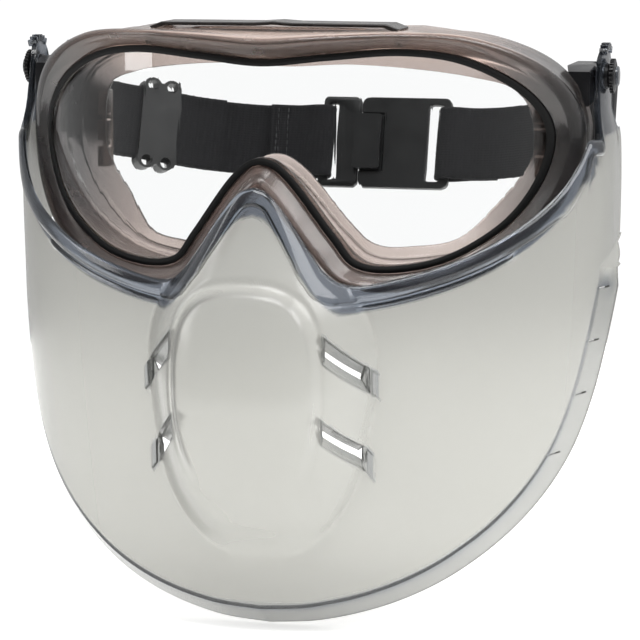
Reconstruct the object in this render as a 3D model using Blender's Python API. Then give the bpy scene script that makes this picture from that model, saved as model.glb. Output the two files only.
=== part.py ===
"""Safety goggle with a flip-up lower face shield and an elastic headband.

Frame: the middle of the shield's pivot axis is close to the origin, +X is the
wearer's left, +Y runs back into the head and +Z is up. Lengths are in
millimetres until an object is made, and metres after that.
"""

import math

import bmesh
import bpy
from mathutils import Matrix, Vector

MM = 0.001
SMOOTH_ANGLE = 40.0
GAP = 0.35  # between pieces that rest on each other

# Goggle. The lens is a slice of a vertical cylinder.
LENS_RADIUS = 103.0
LENS_FRONT_Y = -72.0
LENS_THICK = 2.0
LENS_SLICE = 6.6  # width of the flat facets that make its curve
SEAL_WIDTH = 2.1
# Half of the lens opening, from the brow's middle round to the nose bridge:
# (x, z, bezel width, how far its crest stands in front of the lens, y of the wall's back,
# then x, z and y of the face opening)
RIM = [
    (0.0, 8.0, 6.4, 3.0, -38.0, 0.0, 3.8, -38.5),
    (20.0, 9.8, 5.8, 3.4, -36.5, 20.0, 4.6, -37.0),
    (42.0, 11.2, 5.4, 4.0, -29.0, 40.0, 3.0, -30.5),
    (60.0, 8.0, 6.6, 4.5, -18.0, 56.0, 0.0, -20.5),
    (75.5, -1.5, 8.0, 4.5, -4.0, 67.0, -4.5, -9.0),
    (83.3, -14.0, 8.6, 4.2, 4.0, 71.5, -14.5, -2.0),
    (81.6, -29.0, 8.8, 3.8, 5.0, 69.5, -26.0, -1.0),
    (72.5, -43.5, 8.2, 3.5, -2.0, 61.0, -41.0, -7.0),
    (57.0, -53.8, 6.8, 3.5, -14.0, 51.0, -51.5, -18.0),
    (41.0, -57.3, 6.2, 4.0, -26.0, 38.0, -53.5, -28.5),
    (28.5, -55.5, 6.2, 4.6, -37.0, 29.0, -52.0, -38.0),
    (21.0, -46.5, 6.8, 5.0, -43.5, 22.5, -45.0, -44.5),
    (8.2, -29.3, 7.2, 5.2, -48.5, 9.2, -27.5, -49.5),
    (0.0, -24.2, 7.4, 5.2, -50.0, 0.0, -22.5, -51.0),
]
RIM_STEPS = 3
GROOVE_DEPTH = 4.6  # from the lens surface back to the ledge behind the seal
LEDGE_THICK = 1.6
WALL_THICK = 2.4
WALL_WAIST = 1.8
VENT_WINDOW = (56.0, 7.0)  # slot through the top wall
VENT_Y = -50.0

# Shield pivot, on an axis along X.
PIVOT = (-4.0, 0.0)  # y, z
EAR_X = 96.8  # outer face of the ear
SHELL_THICK = 1.5
STUD_RADIUS = 4.0
STUD_HOLE_RADIUS = 4.3
BRACKET_X = 93.4
KNOB_RADIUS = 5.6
KNOB_THICK = 1.7
GRIP_DEPTH = 0.4
CAP_RADIUS = 3.2
CAP_THICK = 0.9

# Shield shell: an ellipse in plan, cut by a top edge and a bottom edge.
SHELL_HALF_WIDTH = [
    (-150.0, 92.0), (-120.0, 95.2), (-90.0, 97.5), (-60.0, 98.9), (-22.0, 99.0),
    (-9.0, EAR_X), (30.0, EAR_X),
]
SHELL_DEPTH_TOP = 80.0
SHELL_DEPTH_LOSS = 0.037  # of depth for each mm below the rim
RIM_Z = -30.0
REAR_Y = 13.0
# top edge over x, as far as the side where it turns up to the ear
TOP_EDGE = [
    (0.0, -32.5), (4.0, -34.2), (8.0, -38.6), (13.0, -45.5), (17.5, -52.0), (22.5, -58.3),
    (27.5, -61.0), (35.0, -60.2), (53.5, -55.2), (66.5, -50.0), (77.0, -43.6), (83.0, -38.6),
    (88.0, -33.0), (92.0, -25.8), (94.4, -19.0),
]
# bottom edge over the angle round the plan, in degrees
BOTTOM_EDGE = [
    (0.0, -163.5), (11.0, -162.0), (25.0, -156.5), (38.0, -147.5), (52.0, -133.0),
    (63.0, -116.0), (69.5, -99.0), (74.0, -82.0), (78.0, -66.0),
]
# muzzle: (z, half width, how far it stands out)
MUZZLE = [
    (-30.0, 9.0, 0.5), (-38.0, 12.0, 3.0), (-46.0, 17.0, 6.5), (-54.0, 23.0, 11.0),
    (-62.0, 29.5, 15.5), (-71.0, 34.5, 18.8), (-82.0, 36.5, 20.5), (-96.0, 36.0, 21.5),
    (-112.0, 32.6, 19.5), (-124.0, 28.2, 15.0), (-134.0, 22.0, 8.5), (-142.0, 14.0, 2.4),
    (-147.0, 8.0, 0.2), (-160.0, 4.0, 0.0),
]
PANEL = (-88.0, 20.5, 35.0, 0.9)  # raised oval: middle z, half width, half height, step
FLANGE_BACK = 12.0
FLANGE_DROP = 7.2
FLANGE_FLARE = 4.8
BEAD_HEIGHT = 1.1
BEAD_WIDTH = 5.5
FRONT_ANGLE = 78.0
FRONT_COLUMNS = 33
EAR_RADIUS = 9.2
TOOTH_HEIGHT = 1.6
# y, top and bottom of the columns behind the ear
REAR_COLUMNS = [(5.6, -6.0, -54.2), (7.0, -14.5, -53.4), (9.0, -17.2, -52.0), (REAR_Y, -17.6, -47.0)]
# air slots in the muzzle's sides: (x, y, z) of the middle, and the length along the slope
SLOTS = [(31.8, -84.0, -83.4, 17.0), (30.0, -83.5, -110.8, 17.0)]
SLOT_HEIGHT = 2.6

# Headband, drawn flat: x across, v back from the swivel pins, h up, then tilted.
SWIVEL = (7.5, -6.0)  # y, z of the pins
SWIVEL_TILT = math.radians(-19.8)
SWIVEL_PIN_RADIUS = 2.5
CLIP_X = 92.1
CLIP_THICK = 2.0
CLIP_BAR_V = 13.5
STRAP_WIDTH = 26.0
STRAP_THICK = 1.5
LAYER = 0.95  # middle of a strap layer from the band's middle line
LOOP = 2.9  # the same where the strap turns round a bar
BAR = 2.8
RIGHT_BAND = [
    (-92.1, 13.5), (-93.3, 24.0), (-91.2, 36.5), (-86.0, 47.0), (-78.0, 53.0), (-70.0, 59.0),
    (-62.0, 65.0), (-48.0, 71.0), (-33.0, 73.6), (-17.0, 74.0),
]
LEFT_BAND = [
    (92.1, 13.5), (93.0, 25.0), (89.0, 38.0), (79.0, 50.5), (63.0, 63.0), (46.0, 71.6), (27.0, 74.0),
]
RIGHT_TAILS = (76.0, 20.0)  # length doubled back at the clip's end, then at the buckle's end
LEFT_TAILS = (22.0, 20.0)
BUCKLE_V = 74.0
BUCKLE_HEIGHT = 33.0
BUCKLE_THICK = 3.0
TONGUE_THICK = 2.4
SLIDER_AT = (-74.0, 56.0)
SLIDER_ANGLE = math.atan2(6.0, 8.0)


def clear_scene():
    for item in list(bpy.data.objects):
        bpy.data.objects.remove(item, do_unlink=True)


def material(name, colour, roughness, alpha=1.0, metallic=0.0):
    made = bpy.data.materials.new(name)
    made.use_nodes = True
    shader = made.node_tree.nodes["Principled BSDF"]
    shader.inputs["Base Color"].default_value = (*colour, 1.0)
    shader.inputs["Roughness"].default_value = roughness
    shader.inputs["Metallic"].default_value = metallic
    shader.inputs["Alpha"].default_value = alpha
    return made


def make_object(name, mesh_build, look, origin=(0.0, 0.0, 0.0), parent=None, closed=True):
    """Turn a bmesh drawn in millimetres into an object with its origin at `origin`."""
    bmesh.ops.translate(mesh_build, verts=mesh_build.verts, vec=-Vector(origin))
    bmesh.ops.scale(mesh_build, verts=mesh_build.verts, vec=(MM, MM, MM))
    if closed:
        bmesh.ops.recalc_face_normals(mesh_build, faces=mesh_build.faces)
    mesh = bpy.data.meshes.new(name)
    mesh_build.to_mesh(mesh)
    mesh_build.free()
    mesh.materials.append(look)
    mesh.shade_smooth()
    mesh.set_sharp_from_angle(angle=math.radians(SMOOTH_ANGLE))
    made = bpy.data.objects.new(name, mesh)
    made.location = Vector(origin) * MM
    made.parent = parent
    bpy.context.scene.collection.objects.link(made)
    return made


def make_empty(name, origin, tilt=0.0):
    empty = bpy.data.objects.new(name, None)
    empty.location = Vector(origin) * MM
    empty.rotation_euler = (tilt, 0.0, 0.0)
    bpy.context.scene.collection.objects.link(empty)
    return empty


def catmull(a, b, c, d, t):
    """One point of the spline through b and c, for tuples of any length."""
    point = []
    for p, q, r, s in zip(a, b, c, d):
        square = 2 * p - 5 * q + 4 * r - s
        cube = 3 * q - p - 3 * r + s
        point.append(0.5 * (2 * q + (r - p) * t + square * t**2 + cube * t**3))
    return tuple(point)


def closed_spline(points, steps):
    count = len(points)
    path = []
    for i in range(count):
        around = [points[(i + k - 1) % count] for k in range(4)]
        path += [catmull(*around, step / steps) for step in range(steps)]
    return path


def open_spline(points, steps):
    first = tuple(2 * a - b for a, b in zip(points[0], points[1]))
    last = tuple(2 * a - b for a, b in zip(points[-1], points[-2]))
    ends = [first, *points, last]
    path = []
    for i in range(len(points) - 1):
        path += [catmull(*ends[i : i + 4], step / steps) for step in range(steps)]
    return [*path, tuple(points[-1])]


def table(rows, at):
    """Read the columns after the first, between rows sorted by the first column."""
    rows = sorted(rows)
    at = min(max(at, rows[0][0]), rows[-1][0])
    for low, high in zip(rows, rows[1:]):
        if at <= high[0]:
            part = (at - low[0]) / (high[0] - low[0])
            return [a + (b - a) * part for a, b in zip(low[1:], high[1:])]
    return list(rows[-1][1:])


def skin(rings, close_path):
    """Join closed rings of points into one surface, with end faces on an open path."""
    build = bmesh.new()
    grid = [[build.verts.new(point) for point in ring] for ring in rings]
    pairs = list(zip(grid, grid[1:]))
    if close_path:
        pairs.append((grid[-1], grid[0]))
    for one, two in pairs:
        for i in range(len(one)):
            j = (i + 1) % len(one)
            build.faces.new((one[i], one[j], two[j], two[i]))
    if not close_path:
        build.faces.new(grid[0])
        build.faces.new(reversed(grid[-1]))
    return build


def prism(outline, axis, low, high):
    """Extrude an outline along `axis`; the outline's pairs are the other two axes in order."""

    def place(pair, along):
        values = list(pair)
        values.insert(axis, along)
        return values

    return skin([[place(pair, low) for pair in outline], [place(pair, high) for pair in outline]], False)


def arc(centre, radius, start, end, count):
    """Points on an arc, with its angles in degrees."""
    angles = [math.radians(start + (end - start) * i / (count - 1)) for i in range(count)]
    return [(centre[0] + radius * math.cos(a), centre[1] + radius * math.sin(a)) for a in angles]


def rounded_box(low, high, radius):
    """Outline of a rectangle with round corners."""
    (x0, y0), (x1, y1) = low, high
    outline = arc((x1 - radius, y1 - radius), radius, 0, 90, 4)
    outline += arc((x0 + radius, y1 - radius), radius, 90, 180, 4)
    outline += arc((x0 + radius, y0 + radius), radius, 180, 270, 4)
    return outline + arc((x1 - radius, y0 + radius), radius, 270, 360, 4)


def combine(target, other_build, name, operation="DIFFERENCE"):
    """Cut a hidden shape out of `target`, or join it on; both are drawn in the same frame."""
    other = make_object(name, other_build, target.data.materials[0], parent=target.parent)
    other.hide_render = True
    other.display_type = "WIRE"
    step = target.modifiers.new(name, "BOOLEAN")
    step.operation = operation
    step.object = other


# --- goggle -----------------------------------------------------------------


def lens_y(x):
    return LENS_FRONT_Y + LENS_RADIUS - math.sqrt(LENS_RADIUS**2 - x**2)


def rim_stations():
    """Rows of RIM all the way round, each with the outline's outward normal in x and z."""
    mirrored = [(-row[0], *row[1:5], -row[5], *row[6:]) for row in reversed(RIM[1:-1])]
    rows = closed_spline(RIM + mirrored, RIM_STEPS)
    stations = []
    for i, row in enumerate(rows):
        before, after = rows[i - 1], rows[(i + 1) % len(rows)]
        along = Vector((after[0] - before[0], after[1] - before[1])).normalized()
        stations.append((row, Vector((-along.y, along.x))))
    return stations


def offset_point(row, normal, outward, behind):
    """A point off the lens outline: `outward` in the outline's plane, `behind` the lens surface."""
    x = row[0] + normal.x * outward
    z = row[1] + normal.y * outward
    return (x, lens_y(x) + behind, z)


def frame_section(row, normal):
    bezel, forward, back_y, open_x, open_z, open_y = row[2:]
    shoulder = offset_point(row, normal, bezel, 1.4 - forward)
    waist = offset_point(row, normal, bezel - WALL_WAIST, 0.0)
    inner = offset_point(row, normal, bezel - WALL_WAIST - WALL_THICK, 0.0)
    heel = offset_point(row, normal, bezel - 1.0, 0.0)
    middle_y = 0.5 * (shoulder[1] + back_y)
    return [
        offset_point(row, normal, GAP, 0.3),
        offset_point(row, normal, 0.5 * bezel, -0.7 * forward),
        offset_point(row, normal, bezel - 1.2, -forward),
        shoulder,
        (waist[0], middle_y, waist[2]),
        (heel[0], back_y - 2.0, heel[2]),
        (waist[0], back_y, waist[2]),
        (open_x, open_y, open_z),
        (open_x, open_y - 1.4, open_z),
        (inner[0], back_y - 2.6, inner[2]),
        (inner[0], middle_y, inner[2]),
        offset_point(row, normal, bezel - WALL_WAIST - WALL_THICK, GROOVE_DEPTH + LEDGE_THICK + 1.5),
        offset_point(row, normal, -SEAL_WIDTH + 0.1, GROOVE_DEPTH + LEDGE_THICK),
        offset_point(row, normal, -SEAL_WIDTH + 0.1, GROOVE_DEPTH),
        offset_point(row, normal, GAP, GROOVE_DEPTH),
    ]


def seal_section(row, normal):
    """An L: a lip in front of the lens's edge and a leg beside it."""
    lens_back = 1.0 + GAP + LENS_THICK
    corners = [(0.0, -0.1), (-1.0, -0.4), (-SEAL_WIDTH, 0.0), (-SEAL_WIDTH, 1.0), (-0.9, 1.0)]
    corners += [(-0.9, lens_back + 0.6), (0.0, lens_back + 0.6)]
    return [offset_point(row, normal, *corner) for corner in corners]


def build_frame(look):
    stations = rim_stations()
    frame = make_object("goggle_frame", skin([frame_section(*s) for s in stations], True), look)
    long, wide = VENT_WINDOW
    window = rounded_box((-long / 2, VENT_Y - wide / 2), (long / 2, VENT_Y + wide / 2), 2.0)
    combine(frame, prism(window, 2, 5.0, 25.0), "vent_window")


def build_seal(look):
    make_object("lens_seal", skin([seal_section(*s) for s in rim_stations()], True), look)


def build_lens(look):
    """The outline's flat face is sliced upright, bent to the cylinder and thickened."""
    edge = 1.2
    outline = [(row[0] - n.x * edge, row[1] - n.y * edge) for row, n in rim_stations()]
    build = bmesh.new()
    build.faces.new([build.verts.new((x, 0.0, z)) for x, z in outline])
    bmesh.ops.triangulate(build, faces=build.faces)
    for step in range(-12, 13):
        everything = build.verts[:] + build.edges[:] + build.faces[:]
        cut_at = (step * LENS_SLICE, 0, 0)
        bmesh.ops.bisect_plane(build, geom=everything, plane_co=cut_at, plane_no=(1, 0, 0), dist=0.001)
    bmesh.ops.remove_doubles(build, verts=build.verts, dist=0.01)
    front = 1.0 + GAP
    for vert in build.verts:
        vert.co.y = lens_y(vert.co.x) + front
    region = bmesh.ops.extrude_face_region(build, geom=build.faces[:])["geom"]
    back = [item for item in region if isinstance(item, bmesh.types.BMVert)]
    bmesh.ops.translate(build, verts=back, vec=(0, LENS_THICK, 0))
    make_object("lens", build, look)


def build_top_vent(cover_look, filter_look):
    """A low bridge over the window in the top wall, and the filter strip under it."""
    width, leg, rise = 40.0, 4.0, 17.4
    top = [(-width, rise), (-width + leg, rise + 1.5), (-6.0, rise + 1.6), (0.0, rise + 2.0)]
    top += [(6.0, rise + 1.6), (width - leg, rise + 1.5), (width, rise)]
    under = [(x * 0.97, z - 1.1) for x, z in reversed(top)]
    make_object("top_vent_cover", prism(top + under, 1, VENT_Y - 7.5, VENT_Y + 7.5), cover_look)
    strip = rounded_box((-27.5, VENT_Y - 3.0), (27.5, VENT_Y + 3.0), 1.5)
    make_object("top_vent_filter", prism(strip, 2, 11.2, 13.0), filter_look)


def build_baffles(look):
    """A notched strip behind each end of the face opening."""
    for side, name in ((1, "left"), (-1, "right")):
        outline = [(1.0, -34.0), (5.5, -34.0), (5.5, -8.0), (1.0, -8.0), (1.0, -16.0), (3.0, -16.0)]
        outline += [(3.0, -18.0), (1.0, -18.0), (1.0, -25.0), (3.0, -25.0), (3.0, -27.0), (1.0, -27.0)]
        low, high = sorted((side * 72.0, side * 75.5))
        make_object(f"temple_baffle_{name}", prism(outline, 0, low, high), look)


def build_pivots(bracket_look, stud_look, knob_look, cap_look):
    """Bracket, stud, knob and cap on each temple, outwards from the frame."""
    cap_x = EAR_X + 1.0 + KNOB_THICK
    for side, name in ((1, "left"), (-1, "right")):
        saddle = [(84.2, 3.6), (BRACKET_X, 3.6), (BRACKET_X, -8.0), (90.9, -8.0), (88.3, -2.2)]
        # the swivel end is thinner, so that the strap clip lies outside it
        arm = [(84.2, 3.6), (90.7, 3.6), (90.7, -8.0), (90.4, -8.0), (88.0, -2.2)]
        sections = ((-10.0, saddle), (1.0, saddle), (1.6, arm), (12.0, arm))
        rings = [[(side * x, y, z) for x, z in section] for y, section in sections]
        make_object(f"temple_bracket_{name}", skin(rings, False), bracket_look)
        low, high = sorted((side * 91.0, side * 94.4))
        pin = prism(arc(SWIVEL, SWIVEL_PIN_RADIUS, 0, 345, 24), 0, low, high)
        make_object(f"swivel_pin_{name}", pin, stud_look, origin=(0, *SWIVEL))
        turned_stack = [
            ("pivot_stud", BRACKET_X + 0.2, EAR_X + 0.5, STUD_RADIUS, stud_look),
            ("pivot_knob", EAR_X + 0.8, EAR_X + 0.8 + KNOB_THICK, KNOB_RADIUS, knob_look),
            ("pivot_cap", cap_x, cap_x + CAP_THICK, CAP_RADIUS, cap_look),
        ]
        for piece, low, high, radius, look in turned_stack:
            outline = arc(PIVOT, radius, 0, 345, 24)
            if piece == "pivot_knob":
                outline[1::2] = arc(PIVOT, radius - GRIP_DEPTH, 15, 345, 12)
            x0, x1 = sorted((side * low, side * high))
            make_object(f"{piece}_{name}", prism(outline, 0, x0, x1), look, origin=(0, *PIVOT))


# --- face shield -----------------------------------------------------------------


def shell_half_width(z):
    """Narrow at the ears, widest just below them, then slowly tapering."""
    return table(SHELL_HALF_WIDTH, z)[0]


def muzzle_height(x, z):
    width, height = table(MUZZLE, z)
    across = min(abs(x) / width, 1.0)
    middle_z, panel_width, panel_height, step = PANEL
    oval = math.hypot(x / panel_width, (z - middle_z) / panel_height)
    return height * (1.0 - across**3.4) + step * max(0.0, min(1.0, (1.06 - oval) / 0.12))


def shell_point(column, z, outward=0.0):
    """A point of the outer surface; a column is an angle up to FRONT_ANGLE, or a y behind that."""
    kind, value = column
    width = shell_half_width(z) + outward
    depth = SHELL_DEPTH_TOP - SHELL_DEPTH_LOSS * max(0.0, RIM_Z - z) + outward
    if kind == "angle":
        angle = math.radians(value)
        x = width * math.sin(angle)
        y = -depth * math.cos(angle)
    else:
        y = value
        x = width * math.sqrt(1.0 - (min(y, 0.0) / depth) ** 2)
    return Vector((x, y - muzzle_height(x, z), z))


def shell_columns():
    """(column, top z, bottom z, bead strength, flange length) from the middle to the rear edge."""
    columns = []
    for i in range(FRONT_COLUMNS):
        share = i / (FRONT_COLUMNS - 1)
        angle = FRONT_ANGLE * (0.8 * share + 0.2 * share**2)
        x = shell_half_width(-45.0) * math.sin(math.radians(angle))
        top = table(TOP_EDGE, x)[0]
        columns.append((("angle", angle), top, table(BOTTOM_EDGE, angle)[0], 1.0, 1.0))
    for y, top in ((-16.0, -15.0), (-14.8, -8.5), (-13.7, -3.0)):
        columns.append((("y", y), top, -60.0 + 0.3 * (y + 16.0), 0.6, 0.9))
    first, last = 150.0, 20.0
    steps = 12
    for i in range(steps + 1):
        angle = math.radians(first + (last - first) * i / steps)
        radius = EAR_RADIUS + (TOOTH_HEIGHT if i % 2 == 0 and 1 < i < 9 else 0.0)
        y = PIVOT[0] + radius * math.cos(angle)
        share = (y - PIVOT[0] + EAR_RADIUS) / (2 * EAR_RADIUS)
        bottom = -59.0 + 4.5 * share
        columns.append((("y", y), PIVOT[1] + radius * math.sin(angle), bottom, 0.0, 0.75 - 0.65 * share))
    for y, top, bottom in REAR_COLUMNS:
        columns.append((("y", y), top, bottom, 0.0, 0.08))
    return columns


def flange_vector(column):
    angle = math.radians(column[1] if column[0] == "angle" else FRONT_ANGLE)
    return Vector((FLANGE_FLARE * math.sin(angle), FLANGE_BACK, -FLANGE_DROP * math.cos(angle)))


def shell_strip(column, top, bottom, bead, flange, slope):
    """One column of points, from the rim's bead down to the flange's free edge."""
    strip = []
    bead_rows = ((0.0, 0.0), (0.2, 1.0), (0.6, 1.0), (1.0, 0.0))
    width = BEAD_WIDTH * slope * (0.35 + 0.65 * bead) * (1.0 if bead == 1.0 else 0.5)
    for part, lift in bead_rows:
        strip.append(shell_point(column, top - width * part, BEAD_HEIGHT * lift * bead))
    start = top - width
    rows = 17
    for row in range(1, rows + 1):
        strip.append(shell_point(column, start + (bottom - start) * row / rows))
    edge = strip[-1]
    for part in (0.1, 0.55, 1.0):
        strip.append(edge + flange_vector(column) * part * flange)
    return strip


def build_shield(look):
    """Both halves of the shell as one grid, given its wall and then its holes."""
    columns = shell_columns()
    half = []
    for i, (column, top, bottom, bead, flange) in enumerate(columns):
        near = columns[min(i + 1, FRONT_COLUMNS - 1)]
        far = columns[max(i - 1, 0)]
        slope = 1.0
        if column[0] == "angle" and near[0][0] == "angle":
            run = shell_point(near[0], near[1]).x - shell_point(far[0], far[1]).x
            slope = math.hypot(1.0, (near[1] - far[1]) / max(run, 0.5))
        half.append(shell_strip(column, top, bottom, bead, flange, min(slope, 1.9)))
    strips = [[Vector((-p.x, p.y, p.z)) for p in strip] for strip in reversed(half[1:])] + half
    build = bmesh.new()
    grid = [[build.verts.new(point) for point in strip] for strip in strips]
    for one, two in zip(grid, grid[1:]):
        for a, b, c, d in zip(one, one[1:], two[1:], two):
            build.faces.new((a, b, c, d))
    # its faces already point outwards, and it is open until the wall is added
    shield = make_object("face_shield", build, look, origin=(0, *PIVOT), closed=False)
    wall = shield.modifiers.new("wall", "SOLIDIFY")
    wall.thickness = SHELL_THICK * MM
    wall.offset = -1.0
    wall.use_even_offset = False
    for side in (1, -1):
        low, high = sorted((side * (EAR_X - 8.0), side * (EAR_X + 4.0)))
        hole = prism(arc(PIVOT, STUD_HOLE_RADIUS, 0, 345, 24), 0, low, high)
        combine(shield, hole, f"stud_hole_{side}")
        for number, (x, y, z, length) in enumerate(SLOTS):
            combine(shield, slot_cutter(side, x, y, z, length), f"air_slot_{number}_{side}")


def slot_cutter(side, x, y, z, length):
    """A flat box that lies along the muzzle's side, dropping towards the cheek."""
    build = bmesh.new()
    bmesh.ops.create_cube(build, size=1.0)
    bmesh.ops.scale(build, verts=build.verts, vec=(length, 12.0, SLOT_HEIGHT))
    turn = Matrix.Rotation(math.radians(52.0), 4, "Z") @ Matrix.Rotation(math.radians(28.0), 4, "Y")
    bmesh.ops.transform(build, verts=build.verts, matrix=Matrix.Translation((x, y, z)) @ turn)
    if side < 0:
        bmesh.ops.scale(build, verts=build.verts, vec=(-1, 1, 1))
    return build


# --- headband, flat in its own plane ------------------------------------------------


def plate(outline, thick, centre, angle=0.0):
    """A plate whose outline is (along, h), standing upright at `centre` (x, v)."""
    build = prism(outline, 1, -thick / 2, thick / 2)
    turn = Matrix.Rotation(angle, 4, "Z")
    bmesh.ops.transform(build, verts=build.verts, matrix=Matrix.Translation((*centre, 0.0)) @ turn)
    return build


def band_axis(points):
    """The band's middle line as (point, normal, distance from the start)."""
    path = [Vector(p) for p in open_spline(points, 5)]
    rows = []
    walked = 0.0
    for i, point in enumerate(path):
        if i:
            walked += (point - path[i - 1]).length
        along = (path[min(i + 1, len(path) - 1)] - path[max(i - 1, 0)]).normalized()
        rows.append((point, Vector((-along.y, along.x)), walked))
    return rows


def spread(walked, total):
    """How far a layer stands off the middle line: wide near the bars at both ends."""
    near = min(walked, total - walked)
    ease = max(0.0, 1.0 - max(near - 1.5, 0.0) / 9.0)
    return LAYER + (LOOP - LAYER) * ease * ease * (3 - 2 * ease)


def turn_points(point, normal, way):
    """Half a turn round a bar, from the layer on +normal to the one on -normal."""
    along = Vector((normal.y, -normal.x)) * way
    angles = [math.pi * i / 8 for i in range(1, 8)]
    return [point + normal * (LOOP * math.cos(a)) + along * (LOOP * math.sin(a)) for a in angles]


def strap_mesh(points, start_tail, end_tail):
    """One length of webbing: a tail, round the first bar, along the band, round the last bar, a tail."""
    axis = band_axis(points)
    total = axis[-1][2]
    outer = [p + n * spread(w, total) for p, n, w in axis]
    inner = [(p - n * spread(w, total), w) for p, n, w in axis]
    centre = [p for p, w in reversed(inner) if w <= start_tail]
    centre += list(reversed(turn_points(axis[0][0], axis[0][1], -1)))
    centre += outer
    centre += turn_points(axis[-1][0], axis[-1][1], 1)
    centre += [p for p, w in reversed(inner) if w >= total - end_tail]
    rings = []
    for i, point in enumerate(centre):
        along = (centre[min(i + 1, len(centre) - 1)] - centre[max(i - 1, 0)]).normalized()
        side = Vector((-along.y, along.x)) * (STRAP_THICK / 2)
        corners = [(point + side, 1), (point + side, -1), (point - side, -1), (point - side, 1)]
        rings.append([(p.x, p.y, end * STRAP_WIDTH / 2) for p, end in corners])
    return skin(rings, False)


def build_clips(look, headband):
    """A plate on each swivel pin, with a bar at its back that the strap turns round."""
    for side, name in ((1, "left"), (-1, "right")):
        back = CLIP_BAR_V + BAR / 2
        outline = arc((0.0, 0.0), 6.0, 150, 210, 5)
        outline += [(5.0, -16.4), (back, -16.4), (back, 16.4), (5.0, 16.4)]
        low, high = sorted((side * (CLIP_X - CLIP_THICK / 2), side * (CLIP_X + CLIP_THICK / 2)))
        clip = make_object(f"strap_clip_{name}", prism(outline, 0, low, high), look, parent=headband)
        front = CLIP_BAR_V - BAR / 2
        slot = [(8.8, -13.8), (front, -13.8), (front, 13.8), (8.8, 13.8)]
        combine(clip, prism(slot, 0, low - 3, high + 3), f"clip_slot_{name}")
        bore = arc((0, 0), SWIVEL_PIN_RADIUS + 0.3, 0, 345, 24)
        combine(clip, prism(bore, 0, low - 3, high + 3), f"clip_hole_{name}")


def build_straps(look, headband):
    """The left length swings out about its clip's bar when the buckle is open."""
    make_object("strap_right", strap_mesh(RIGHT_BAND, *RIGHT_TAILS), look, parent=headband)
    left = strap_mesh(LEFT_BAND, *LEFT_TAILS)
    make_object("strap_left", left, look, origin=(CLIP_X, CLIP_BAR_V, 0.0), parent=headband)


def build_buckle(look, headband):
    """Two plates side by side; the first one's tongue lies on the head side of the second."""
    half = BUCKLE_HEIGHT / 2
    centre = (0.0, BUCKLE_V)
    behind = (0.0, BUCKLE_V - 2.2)
    hook = rounded_box((-18.4, -half), (-4.0, half), 3.0)
    hook_plate = make_object("buckle_hook", plate(hook, BUCKLE_THICK, centre), look, parent=headband)
    slot = [(-15.6, -14.0), (-12.2, -14.0), (-12.2, 14.0), (-15.6, 14.0)]
    combine(hook_plate, plate(slot, 8.0, centre), "hook_slot")
    tongue = [(-6.0, -10.0), (4.0, -10.0), (4.0, 10.0), (-6.0, 10.0)]
    combine(hook_plate, plate(tongue, TONGUE_THICK, behind), "tongue", "UNION")
    body = rounded_box((-3.5, -half), (28.4, half), 3.0)
    hinge = (CLIP_X, CLIP_BAR_V, 0.0)
    release = make_object("buckle_plate", plate(body, BUCKLE_THICK, centre), look, hinge, headband)
    recess = [(-6.0, -10.6), (4.8, -10.6), (4.8, 10.6), (-6.0, 10.6)]
    combine(release, plate(recess, TONGUE_THICK + 0.4, behind), "tongue_recess")
    slot = [(20.2, -14.0), (25.6, -14.0), (25.6, 14.0), (20.2, 14.0)]
    combine(release, plate(slot, 8.0, centre), "plate_slot")


def build_slider(look, headband):
    """A sleeve round both layers, with two lobes at the top and two at the bottom."""
    lobe, along, high = 3.4, 3.6, 14.0
    outline = arc((along, high), lobe, -20, 140, 8) + arc((-along, high), lobe, 40, 200, 8)
    outline += arc((-along, -high), lobe, 160, 320, 8) + arc((along, -high), lobe, 220, 380, 8)
    body = plate(outline, 6.4, SLIDER_AT, SLIDER_ANGLE)
    sleeve = make_object("strap_slider", body, look, origin=(*SLIDER_AT, 0.0), parent=headband)
    passage = [(-12.0, -13.5), (12.0, -13.5), (12.0, 13.5), (-12.0, 13.5)]
    combine(sleeve, plate(passage, 4.2, SLIDER_AT, SLIDER_ANGLE), "slider_passage")


def main():
    clear_scene()
    clear = material("clear_lens", (0.9, 0.92, 0.92), 0.03, 0.15)
    smoke = material("smoke_frame", (0.35, 0.31, 0.30), 0.3, 0.7)
    haze = material("shield_haze", (0.72, 0.72, 0.70), 0.22, 0.6)
    black = material("black_plastic", (0.015, 0.015, 0.017), 0.4)
    rubber = material("seal_rubber", (0.01, 0.01, 0.01), 0.55)
    webbing = material("black_webbing", (0.012, 0.012, 0.014), 0.85)
    mesh = material("filter_mesh", (0.05, 0.05, 0.05), 0.8)

    build_frame(smoke)
    build_seal(rubber)
    build_lens(clear)
    build_top_vent(black, mesh)
    build_baffles(smoke)
    build_pivots(black, black, black, haze)
    build_shield(haze)

    headband = make_empty("headband_swivel", (0, *SWIVEL), SWIVEL_TILT)
    build_clips(black, headband)
    build_straps(webbing, headband)
    build_buckle(black, headband)
    build_slider(black, headband)


main()
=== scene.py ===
"""Looks of a safety goggle with a flip-up lower face shield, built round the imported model.

Lengths are in millimetres until a mesh becomes an object, and metres after that.
"""

import math

import bmesh
import bpy
from mathutils import Matrix, Vector


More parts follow.
